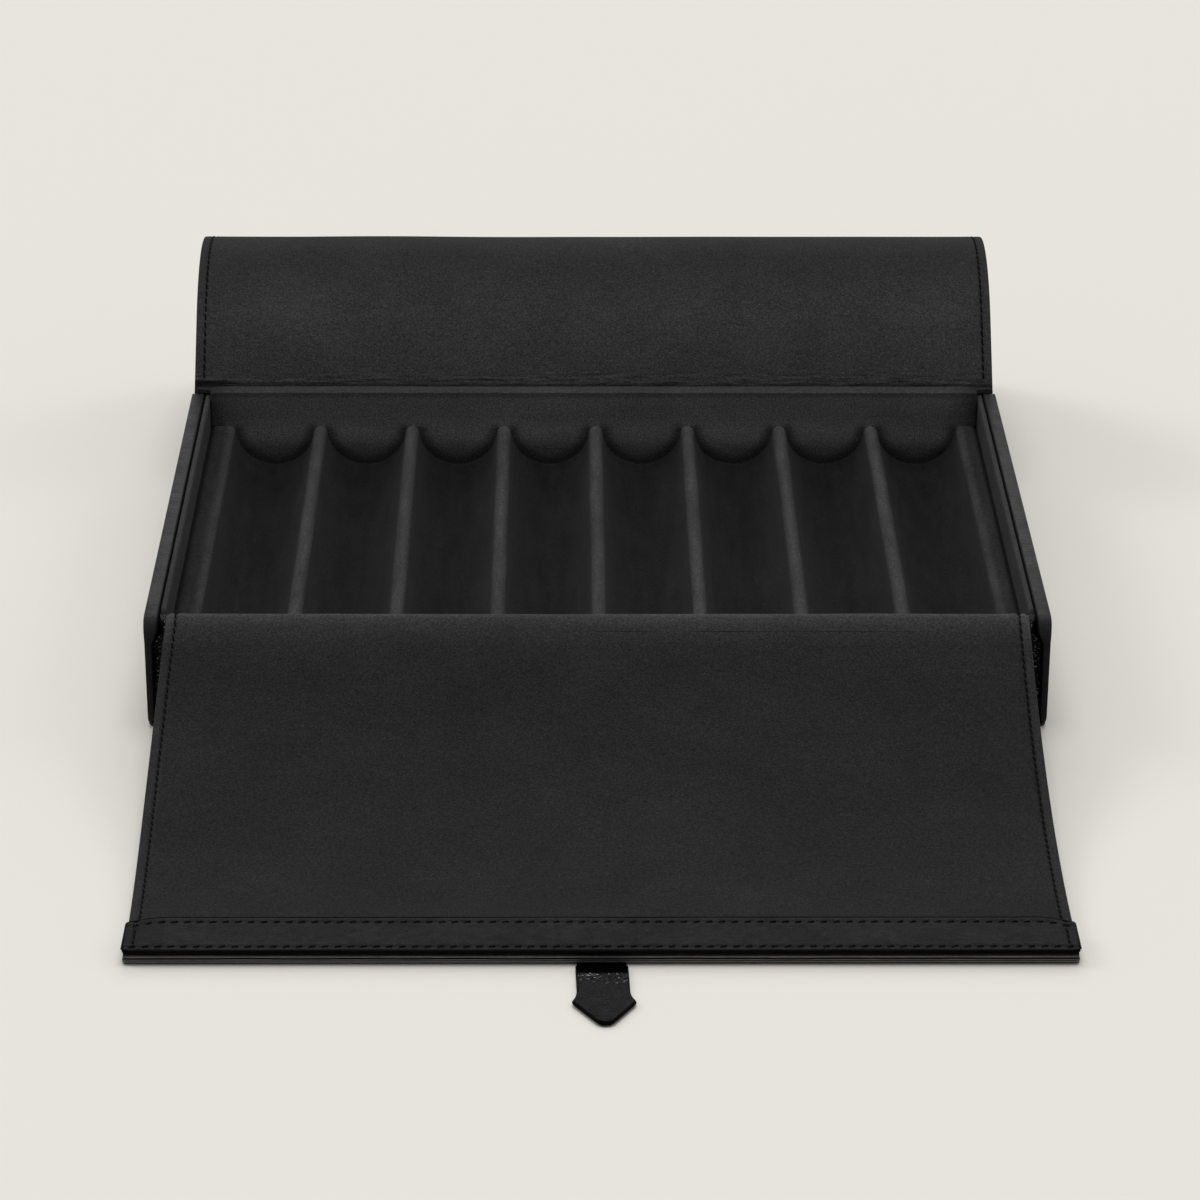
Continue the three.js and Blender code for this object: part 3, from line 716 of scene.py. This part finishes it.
rearRim = {"shoulder": .5, "nose": .7, "noseDrop": .6, "thick": 1.1, "edge": .4, "wave": .1, "lift": 1.45,
    "half": 105.25, "over": 109.2, "overFrom": 2.6, "overRun": .5, "endDrop": .3, "endRun": 5,
    "shadeOut": 1.1, "shadeIn": 3.2, "shadeFrom": 18.8, "shadeTo": 21}
low, high = nodeBox("rear_wall_lining")
rimStretches = [(high[2] + rearRim["lift"] - rearRim["shoulder"] - low[2], 90, 0),
    (rearRim["shoulder"] * pi / 2, 90, -90),
    (high[1] - low[1] - rearRim["shoulder"] - rearRim["nose"], 0, 0),
    (rearRim["nose"] * pi / 2, 0, -90), (rearRim["noseDrop"], -90, 0)]
rimLength = sum(s[0] for s in rimStretches)
rimLine = makeLine((low[1], low[2]), rimStretches, 1)


# the rim comes down a little at its ends and laps over the end walls
def rimPoint(across, a, b):
    share = clamp(1 - (rearRim["half"] - abs(across)) / rearRim["endRun"])
    return across, a, b - rearRim["endDrop"] * share * share * clamp((b - 20) / 8)


def rimHalf(s):
    past = s - rimStretches[0][0] - rimStretches[1][0] - rearRim["overFrom"]
    return rearRim["half"] + (rearRim["over"] - rearRim["half"]) * clamp(past / rearRim["overRun"])


# painted shade: the wall is darkest along the channels' ends, darker in the corners, low down and along the rim's
# top, with painted light across its middle
channelRow = (bed["pitch"], firstRidge + bed["pitch"] / 2, channelLevel, bed["radius"],
    rearRim["shadeOut"], rearRim["shadeIn"])
rimFinish = makeSuede("rimSuedeNapAndPaintedLight", (.11, .11, .111), [
    ("Z", 8, 30, False, [(0, .95), (.12, .85), (.22, .85), (.28, 1.06), (.36, 1.4), (.44, 1.43), (.49, 1.36),
        (.57, 1.2), (.65, 1.06), (.9, 1.03), (.935, .64), (.955, .42), (.975, .3)]),
    ("X", 97, 105, True, [(0, 1.0), (.5, .82), (1, .42)])],
    arcs=(channelRow, [(0, 1.0), (.25, .38), (.44, .45), (.63, .64), (.81, .85), (1, 1.0)],
    rearRim["shadeFrom"], rearRim["shadeTo"]))
rearRimSuede = makeSheet("rearRimSuede", [rimFinish], rimLine, evenSteps(0, rimLength, .5), rimHalf, 0,
    rearRim["thick"], rearRim["edge"], 90, (1, 2, 3, 4, 5.4),
    lambda s, x: wobble(x / 16, s / 6, 4) * rearRim["wave"], toPoint=rimPoint)
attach(rearRimSuede, "case")
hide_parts("rear_wall_lining")
print("rear flap made")


# keeper strap on the outside of the rear flap

keeper = {"at": 24.7, "thick": 1.1, "wide": 6.0, "rise": 5.4, "foot": 4.0, "footBend": .6, "shoulder": 2.4,
    "edge": .45, "gap": .1, "rows": (-1.7, 0, 1.7), "rowInset": 1.6, "stitchLength": 1.4}
low, high = nodeBox("keeper_strap")
keepY, keepZ, keepHeading = rearLine(keeper["at"], rear["depth"])
keepAlong = Vector((0, cos(keepHeading), sin(keepHeading)))
keepOut = Vector((0, sin(keepHeading), -cos(keepHeading)))
run = high[0] - keeper["foot"] - keeper["shoulder"]
upright = keeper["rise"] - keeper["footBend"] - keeper["shoulder"]
footBend, shoulderBend = keeper["footBend"] * pi / 2, keeper["shoulder"] * pi / 2
keepStretches = [(keeper["foot"], 0, 0), (footBend, 0, 90), (upright, 90, 0), (shoulderBend, 90, -90),
    (2 * run - 2 * keeper["footBend"], 0, 0), (shoulderBend, 0, -90), (upright, -90, 0),
    (footBend, -90, 90), (keeper["foot"], 0, 0)]
keepLine = makeLine((-high[0], keeper["thick"] + keeper["gap"]), keepStretches, 1)
strap = makeSheet("keeperStrap", [leatherFinish, paintFinish], keepLine,
    evenSteps(0, sum(s[0] for s in keepStretches), .45), lambda s: keeper["wide"] / 2, 0,
    keeper["thick"], keeper["edge"], 10,
    toPoint=lambda across, a, b: tuple(Vector((a, keepY, keepZ)) + keepAlong * across + keepOut * b))
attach(strap, "rear_leaf_1")
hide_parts("keeper_strap")
dashes = []
for way in (-1, 1):
    for row in keeper["rows"]:
        spot = Vector((way * (high[0] - keeper["rowInset"]), keepY, keepZ)) + keepAlong * row
        spot += keepOut * (keeper["thick"] + keeper["gap"])
        dashes.append((spot, keepAlong, keepOut, dict(stitch, length=keeper["stitchLength"])))
sewn = makeStitches("keeperStitches", dashes)
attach(sewn, "rear_leaf_1")
print("keeper made")


# front flap: folds over the front rim, sags to the table and lies flat

front = {"slope": 26, "sagRadius": 252.46, "length": 131.36, "lining": .9, "depth": 1.9, "margin": 2.35,
    "step": 1.4, "cuts": (4, 34, 90), "leftSwing": .85, "swingFrom": 84, "swingRun": 112, "lap": .5,
    "liningEdge": .35, "hideEdge": .3, "border": .12, "wave": .32, "fineWave": .06,
    "firstStitch": -1.2, "unsewn": 12.5, "nearSewn": (.6, 1.0, 1.4, 1.7, 2.0, 2.3, 2.6, 2.9, 3.3, 4)}
frontHinge = jointSpot("front_hinge")
sagRun = front["sagRadius"] * radians(front["slope"])
frontHeading = 180 + front["slope"]
frontStretches = [(sagRun, frontHeading, -front["slope"]), (front["length"] - sagRun, 180, 0)]
frontLine = makeLine(frontHinge, frontStretches, -1)
frontHalf = nodeBox("front_flap_lining_upper")[1][0]
frontSewn = frontHalf - front["margin"]


# the lining comes up inside the front wall, goes over the rim in a soft hump and on to the flap
hump = {"shoulder": 1.65, "ledge": .65, "rise": 40, "hollow": 2.0, "crest": 3.168, "settle": .25,
    "cornerSettle": .9, "sink": 1.9, "sinkFrom": 10.5, "sinkTo": 4.5, "spill": .9,
    "narrowFrom": 5.6, "narrowRun": 3.2}
low, high = nodeBox("front_wall_lining")
crestTurn = hump["rise"] + front["slope"]
humpStretches = [(high[2] - hump["shoulder"] - low[2], 90, 0),
    (hump["shoulder"] * pi / 2, 90, 90),
    (hump["ledge"], 180, 0),
    (hump["hollow"] * radians(hump["rise"]), 180, -hump["rise"]),
    (hump["crest"] * radians(crestTurn), 180 - hump["rise"], crestTurn)]
humpRun = sum(s[0] for s in humpStretches)
humpEnd = makeLine((high[1], low[2]), humpStretches, -1)(humpRun)
toHinge = (humpEnd[0] - frontHinge[0]) / cos(radians(front["slope"]))
humpStretches += [(toHinge, frontHeading, 0), (sagRun, frontHeading, -front["slope"])]
humpLine = makeLine((high[1], low[2]), humpStretches, -1)
hingeRun = humpRun + toHinge
frontRimHalf = high[0] + hump["spill"]


# the flap's left edge swings out a little between the rim and the band
def frontX(x, y):
    share = clamp((-front["swingFrom"] - y) / front["swingRun"])
    return x + min(0, x / frontHalf) * front["leftSwing"] * sin(pi * share ** .8)


def frontPoint(across, a, b):
    return frontX(across, a), a, b


def frontPuff(s, x):
    lift = sewnGroove(abs(x) - frontSewn) + (front["border"] if abs(x) > frontSewn + .4 else 0)
    broad = wobble(x / 46, s / 40, 7) * front["wave"] * clamp(s / 10)
    return lift + broad + wobble(x / 12, s / 14, 9) * front["fineWave"]


def humpPuff(s, x):
    past = s - hingeRun
    sunk = hump["sink"] * clamp((past + hump["sinkFrom"]) / 1.5) * clamp((-hump["sinkTo"] - past) / 2)
    if past < -6:
        return wobble(x / 16, s / 6, 4) * .08 - sunk
    near = bell(past + 2, 3.5)
    corner = max(0, 1 - (frontHalf - abs(x)) / 1.5) ** 2
    lift = sewnGroove(abs(x) - frontSewn) * (1 + .8 * near) - sunk
    return lift - near * (hump["settle"] + hump["cornerSettle"] * corner) + wobble(x / 26, past / 6, 11) * .16


def humpHalf(s):
    return frontRimHalf + (frontHalf - frontRimHalf) * ease((s - hingeRun + hump["narrowFrom"]) / hump["narrowRun"])


def joinFront(piece, number):
    if number == 0:
        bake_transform(piece)
    elif number == 1:
        metres(*frontLine(4)[:2])
        metres(*frontLine(18)[:2])
        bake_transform(piece)
    elif number == 2:
        metres(*frontLine(36)[:2])
        metres(*frontLine(84)[:2])
        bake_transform(piece)
    else:
        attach(piece, "front_lower")


# the leather comes up the front wall and doubles back under the flap
fold = {"inside": .3, "half": 108.2, "crackle": .7, "fineCrackle": .3, "crackleRun": 7, "drawFrom": 5, "drawRun": 2,
    "nearEnd": (.5, 1, 1.5, 2, 2.5, 3, 3.5, 4, 5, 6)}
seam = {"low": 3.5, "high": 24.5, "pitch": 2.6, "inset": .9, "out": .08, "length": 1.7, "thick": .5, "lean": .25}
wallLow, wallHigh = nodeBox("front_wall_cover")
frontFoot, frontY, frontWallHalf = wallLow[2], wallLow[1], wallHigh[0]
foldUp, foldRun, flapRun = upToFlap(frontY, frontFoot, frontLine(0, front["depth"]), frontHeading, fold["inside"])
foldStretches = [(foldUp, 90, 0), (foldRun, 90, frontHeading - 90), (flapRun, frontHeading, 0),
    (sagRun, frontHeading, -front["slope"])]
foldLine = makeLine((frontY, frontFoot), foldStretches, -1)
foldHinge = foldUp + foldRun + flapRun


def cornerCrackle(s, x):
    near = max(0, 1 - (fold["half"] - abs(x)) / fold["crackleRun"]) if s < foldUp else 0
    return near * (wobble(x / 1.1, s / 1.6, 6) * fold["crackle"] + wobble(x / .6, s / .7, 3) * fold["fineCrackle"])


def foldHalf(s):
    wide = fold["half"] + (frontWallHalf - fold["half"]) * clamp((s - foldUp + fold["drawFrom"]) / fold["drawRun"])
    return wide + (frontHalf - wide) * clamp((s - foldUp) / 2)


frontEnds = (0,) + front["cuts"] + (front["length"],)
frontSpots = stitchSpots(front["firstStitch"], front["length"] - front["unsewn"])
for number in range(4):
    first, last = frontEnds[number], frontEnds[number + 1]
    tip = number == 3
    if number == 0:
        rows = evenSteps(0, hingeRun - 7, 1.4) + evenSteps(hingeRun - 7, hingeRun + last, .4)[1:]
        lining = makeSheet("frontRimSuede", [frontFinish], humpLine, rows, humpHalf, 0, front["lining"],
            front["liningEdge"], 90, front["nearSewn"], humpPuff)
        rows = evenSteps(0, foldUp - 3, .9) + evenSteps(foldUp - 3, foldHinge + last, .3)[1:]
        hide = makeSheet("frontWallLeather", [cornerFinish], foldLine, rows, foldHalf,
            -(front["depth"] - front["lining"]), 0, front["hideEdge"], 60, fold["nearEnd"], sag=cornerCrackle)
        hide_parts("front_wall_lining", "front_flap_lining_strip")
        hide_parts("front_wall_cover", "front_flap_cover_strip")
    else:
        rows = evenSteps(first, last + (front["lap"] if tip else 0), front["step"])
        lining = makeSheet("frontSuede%d" % number, [frontFinish], frontLine, rows, lambda s: frontHalf, 0,
            front["lining"], front["liningEdge"], 90, front["nearSewn"], frontPuff, toPoint=frontPoint)
        hide = makeSheet("frontLeather%d" % number, [leatherFinish, cutFinish], frontLine, rows,
            lambda s: frontHalf, front["lining"], front["depth"], front["hideEdge"], 50, (1, 2, 3),
            toPoint=frontPoint)
        if number > 1:
            part = ("upper", "lower")[number - 2]
            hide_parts("front_flap_lining_" + part)
            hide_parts("front_flap_cover_" + part)
    joinFront(lining, number)
    joinFront(hide, number)
    if number == 0:
        dashes = edgeDashes(humpLine, [s + hingeRun for s in frontSpots if s < last], frontSewn, -1, frontX)
    else:
        dashes = edgeDashes(frontLine, [s for s in frontSpots if first <= s < last], frontSewn, -1, frontX)
    sewn = makeStitches("frontStitches%d" % number, dashes)
    joinFront(sewn, number)

# seam where the front wall meets the end walls
seamDash = (seam["lean"], 0, 1), (0, -1, 0), dict(stitch, length=seam["length"], thick=seam["thick"])
seamHalf = frontWallHalf - seam["inset"]
sewn = makeStitches("cornerStitches", [((x, frontY - seam["out"], z), *seamDash) for z in evenSteps(
    seam["low"], seam["high"], seam["pitch"]) for x in (-seamHalf, seamHalf)])
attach(sewn, "case")
print("front flap made")


# stitched band along the front flap's edge

band = {"endDrop": 2.2, "endRun": 9.0, "corner": .8, "edge": .3, "backRow": 2.3, "frontRow": 1.5, "endRow": 2.2,
    "reach": .3, "back": 1.0, "droop": .3, "wave": .08, "foot": .2, "stitchSink": .06,
    "nearEnd": (.7, 1.2, 1.7, 2.1, 2.5, 3, 4, 5, 6, 7, 8, 9)}
low, high = nodeBox("inner_band")
bandHalf, bandBack, bandFront, bandTop = high[0], high[1] + band["back"], low[1] - band["reach"], high[2]
bandWide = bandBack - bandFront


# the back edge comes forward at both ends
def bandBow(x):
    share = clamp((abs(x) - bandHalf + band["endRun"]) / (band["endRun"] - 1.5))
    return band["endDrop"] * share * share


def bandShift(s, x):
    return bandBow(x) * (1 - s / bandWide)


def bandHalfAt(s):
    return roundedHalf(bandHalf, band["corner"], min(s, bandWide - s))


def bandPuff(s, x):
    lift = sewnGroove(s + bandShift(s, x) - bandBow(x) - band["backRow"])
    lift += sewnGroove(bandWide - s - band["frontRow"]) + sewnGroove(bandHalf - abs(x) - band["endRow"])
    return lift * .8 + wobble(x / 22, s / 7, 12) * band["wave"]


def bandDroop(s, x):
    return band["droop"] * (s / bandWide) ** 2


bandLine = makeLine((bandBack, bandTop), [(bandWide, 180, 0)], -1)
face = makeSheet("bandLeather", [bandFinish, paintFinish], bandLine, evenSteps(0, bandWide, .5), bandHalfAt, 0,
    high[2] - low[2] + band["foot"], band["edge"], 110, band["nearEnd"], bandPuff,
    roundEnds=(True, True), shift=bandShift, dip=bandDroop)
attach(face, "front_lower")
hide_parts("inner_band")

underBand = {"edge": .25, "top": -.15}
low, high = nodeBox("outer_band")
underLine = makeLine((bandBack, high[2]), [(bandWide, 180, 0)], -1)
under = makeSheet("underBand", [leatherFinish, cutFinish], underLine, evenSteps(0, bandWide, 1.2), bandHalfAt,
    underBand["top"], high[2] - low[2], underBand["edge"], 60, (1, 2, 3), roundEnds=(True, True))
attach(under, "front_lower")
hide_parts("outer_band")

# painted bead over the front edges of the band and the lining
bead = {"low": 2.4, "high": 3.62, "out": .4, "back": .2, "short": .4, "sides": 10}
beadMiddle, beadTall = (bead["low"] + bead["high"]) / 2, (bead["high"] - bead["low"]) / 2
points, faces = [], []
beadSpots = evenSteps(-bandHalf + bead["short"], bandHalf - bead["short"], 1.6)
for x in beadSpots:
    tall = beadTall * (1 + wobble(x / 9, 0, 14) * .07)
    out = bead["out"] * (1 + wobble(x / 14, 2, 15) * .2) * min(1, .35 + (bandHalf - abs(x)) / 1.5)
    for t in around(bead["sides"]):
        depth = out if cos(t) > 0 else bead["back"]
        points.append((x, bandFront - depth * cos(t), beadMiddle + tall * sin(t)))
joinRings(faces, 0, len(beadSpots), bead["sides"])
edgeBead = makeMesh("bandEdgePaint", points, faces, [paintFinish])
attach(edgeBead, "front_lower")

# thin lines of paint along the band's back edge, its ends and the layers below the bead; the line along the back
# edge is also painted shade in the gap behind it
trim = {"back": .23, "end": .24, "front": .15, "frontOut": .28, "frontLevel": 1.6, "frontWave": .1}
endBack = bandBack - bandBow(bandHalf)
backSpots = evenSteps(-bandHalf + .8, bandHalf - .8, 1.3)
paths = [([(x, bandBack - bandBow(x) - .05, bandTop - .1) for x in backSpots], trim["back"])]
for way in (-1, 1):
    path = [(way * (bandHalf - .05), y, bandTop - .22) for y in evenSteps(bandFront + .3, endBack - .8, 1)]
    path.append((way * (bandHalf - .25), endBack - .35, bandTop - .2))
    path.append((way * (bandHalf - .85), endBack - .06, bandTop - .12))
    paths.append((path, trim["end"]))
frontLevels = [trim["frontLevel"] + wobble(x / 12, 5, 16) * trim["frontWave"] for x in beadSpots]
paths.append(([(x, bandFront - trim["frontOut"], z) for x, z in zip(beadSpots, frontLevels)], trim["front"]))
edgeLine = makeBeads("bandEdgeLine", paths)
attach(edgeLine, "front_lower")

dashes = []
up = (0, 0, 1)
rowHalf = bandHalf - band["endRow"]
stitchZ = bandTop - band["stitchSink"]
for x in evenSteps(-rowHalf, rowHalf, bandStitch["pitch"]):
    ahead = bandBow(x + .3) - bandBow(x - .3)
    dashes.append(((x, bandBack - bandBow(x) - band["backRow"], stitchZ), (.6, -ahead, 0), up, bandStitch))
    dashes.append(((x, bandFront + band["frontRow"], stitchZ - band["droop"] * .7), (1, 0, 0), up, bandStitch))
columnTop = bandBack - bandBow(rowHalf) - band["backRow"]
for y in evenSteps(bandFront + band["frontRow"], columnTop, stitch["pitch"])[1:-1]:
    for x in (-rowHalf, rowHalf):
        dashes.append(((x, y, stitchZ - bandDroop(bandBack - y, x)), (0, 1, 0), up, stitch))
sewn = makeStitches("bandStitches", dashes)
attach(sewn, "front_lower")
print("band made")


# closing tab: neck, flared shoulders, blunt point

tab = {"neck": 5.45, "shoulder": 6.55, "flareStart": 13.8, "shoulderReach": 19.7, "reach": 29.2, "tip": 1.2,
    "tuck": .9, "edge": .2, "overlap": .08, "crease": 9.2, "creaseWide": 2.6,
    "lean": .7, "rootDip": .85, "rootRun": 3.6, "bead": .36, "beadFrom": 2.5}
tabRoot = nodeBox("tab_face")[1][1]


def tabHalf(s):
    flareEnd, pointStart = tab["shoulderReach"] - .7, tab["shoulderReach"] + .3
    if s < tab["flareStart"]:
        return tab["neck"]
    if s < flareEnd:
        share = (s - tab["flareStart"]) / (flareEnd - tab["flareStart"])
        return tab["neck"] + (tab["shoulder"] - tab["neck"]) * share ** 2.2
    if s < pointStart:
        return tab["shoulder"] + .05
    share = (s - pointStart) / (tab["reach"] - pointStart)
    straight = tab["shoulder"] + (tab["tip"] - tab["shoulder"]) * share
    return max(.25, straight * sqrt(max(0, 1 - max(0, (share - .93) / .072) ** 2)))


def tabCrease(s, x):
    lines = wobble(x / 2.6, s / .5, 20) * .22 + wobble(x / .9, s / .35, 21) * .12
    return bell(s - tab["crease"], tab["creaseWide"]) * (lines + .1) + wobble(x / 5, s / 6, 22) * .05


def tabDip(s, x):
    return tab["rootDip"] * (1 - ease((s + .6) / tab["rootRun"]))


def tabPoint(across, a, b):
    return across + tab["lean"] * max(0, tabRoot - a) / tab["reach"], a, b


tabRows = evenSteps(-tab["tuck"], 11, .3) + evenSteps(11, tab["reach"], .4)[1:]
for node, name in (("tab_face", "tabLeather"), ("tab_backing", "tabBacking")):
    low, high = nodeBox(node)
    upper = node == "tab_backing"
    top, bottom = (0, high[2] - low[2] + tab["overlap"]) if upper else (-tab["overlap"], high[2] - low[2])
    tabLine = makeLine((tabRoot, high[2]), [(tab["reach"], 180, 0)], -1)
    piece = makeSheet(name, [tabFinish, paintFinish], tabLine, tabRows, tabHalf, top, bottom, tab["edge"], 16,
        (.5, .9), tabCrease if upper else lambda s, x: -.35 * tabDip(s, x), roundEnds=(False, True),
        dip=tabDip if upper else None, toPoint=tabPoint)
    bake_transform(piece)
    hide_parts(node)

edgeZ = (nodeBox("tab_face")[0][2] + nodeBox("tab_backing")[1][2]) / 2
spots = [s for s in tabRows if s > tab["beadFrom"]]
outline = [(-tabHalf(s), tabRoot - s, edgeZ) for s in spots]
outline += [(tabHalf(s), tabRoot - s, edgeZ) for s in reversed(spots)]
edge = makeBeads("tabEdgePaint", [([tabPoint(*spot) for spot in outline], tab["bead"])])
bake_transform(edge)
print("tab made")


# three hidden boards keep their solids

for name in ("base_board", "front_wall_board", "rear_wall_board"):
    node = frame["nodes"][name]
    node.data.materials.clear()
    node.data.materials.append(boardFinish)


# floor, light, camera

floor = {"tone": (.752, .727, .681), "size": 14, "rough": .9, "shine": .1}
tone, tree, shader = startFinish("paleFloor")
mottle = [(.3, tuple(.997 * c for c in floor["tone"])), (.7, floor["tone"])]
setInputs(shader, {"Base Color": addRamp(addNoise(tree, 3, 2), mottle), "Roughness": floor["rough"],
    "Specular IOR Level": floor["shine"]})
bpy.ops.mesh.primitive_plane_add(size=floor["size"], location=(0, 2, 0))
ground = bpy.context.object
ground.name = "floor"
ground.data.materials.append(tone)

room = {"Color": (1, .995, .985, 1), "Strength": .36}
world = bpy.data.worlds.new("softRoom")
world.use_nodes = True
setInputs(world.node_tree.nodes["Background"], room)
scene.world = world

lamps = {"topSky": {"from": (0, .12, 1), "strength": 1.38, "angle": 40},
    "rightSky": {"from": (1.0, .25, .8), "strength": .2, "angle": 26},
    "leftSky": {"from": (-1.0, .45, .75), "strength": .56, "angle": 26},
    "backSky": {"from": (0, 1.0, .6), "strength": .8, "angle": 35}}
for name, lamp in lamps.items():
    light = bpy.data.lights.new(name, "SUN")
    light.energy = lamp["strength"]
    light.angle = radians(lamp["angle"])
    holder = bpy.data.objects.new(name, light)
    holder.location = lamp["from"]
    holder.rotation_euler = Vector(lamp["from"]).to_track_quat("Z", "Y").to_euler()
    scene.collection.objects.link(holder)

shot = {"at": (-8.0, -1111.0, 460.2), "yaw": .473, "down": 22.513, "roll": .178, "lens": 138, "sensor": 36}
camera = bpy.data.cameras.new("camera")
camera.lens = shot["lens"]
camera.sensor_width = shot["sensor"]
camera.sensor_fit = "HORIZONTAL"
camera.clip_end = 30
eye = bpy.data.objects.new("camera", camera)
turn = Matrix.Rotation(radians(-shot["yaw"]), 4, "Z") @ Matrix.Rotation(radians(90 - shot["down"]), 4, "X")
turn = turn @ Matrix.Rotation(radians(shot["roll"]), 4, "Z")
eye.matrix_world = Matrix.Translation(Vector(shot["at"]) * mm) @ turn
scene.collection.objects.link(eye)
scene.camera = eye

scene.view_settings.view_transform = "Standard"
print("scene ready")
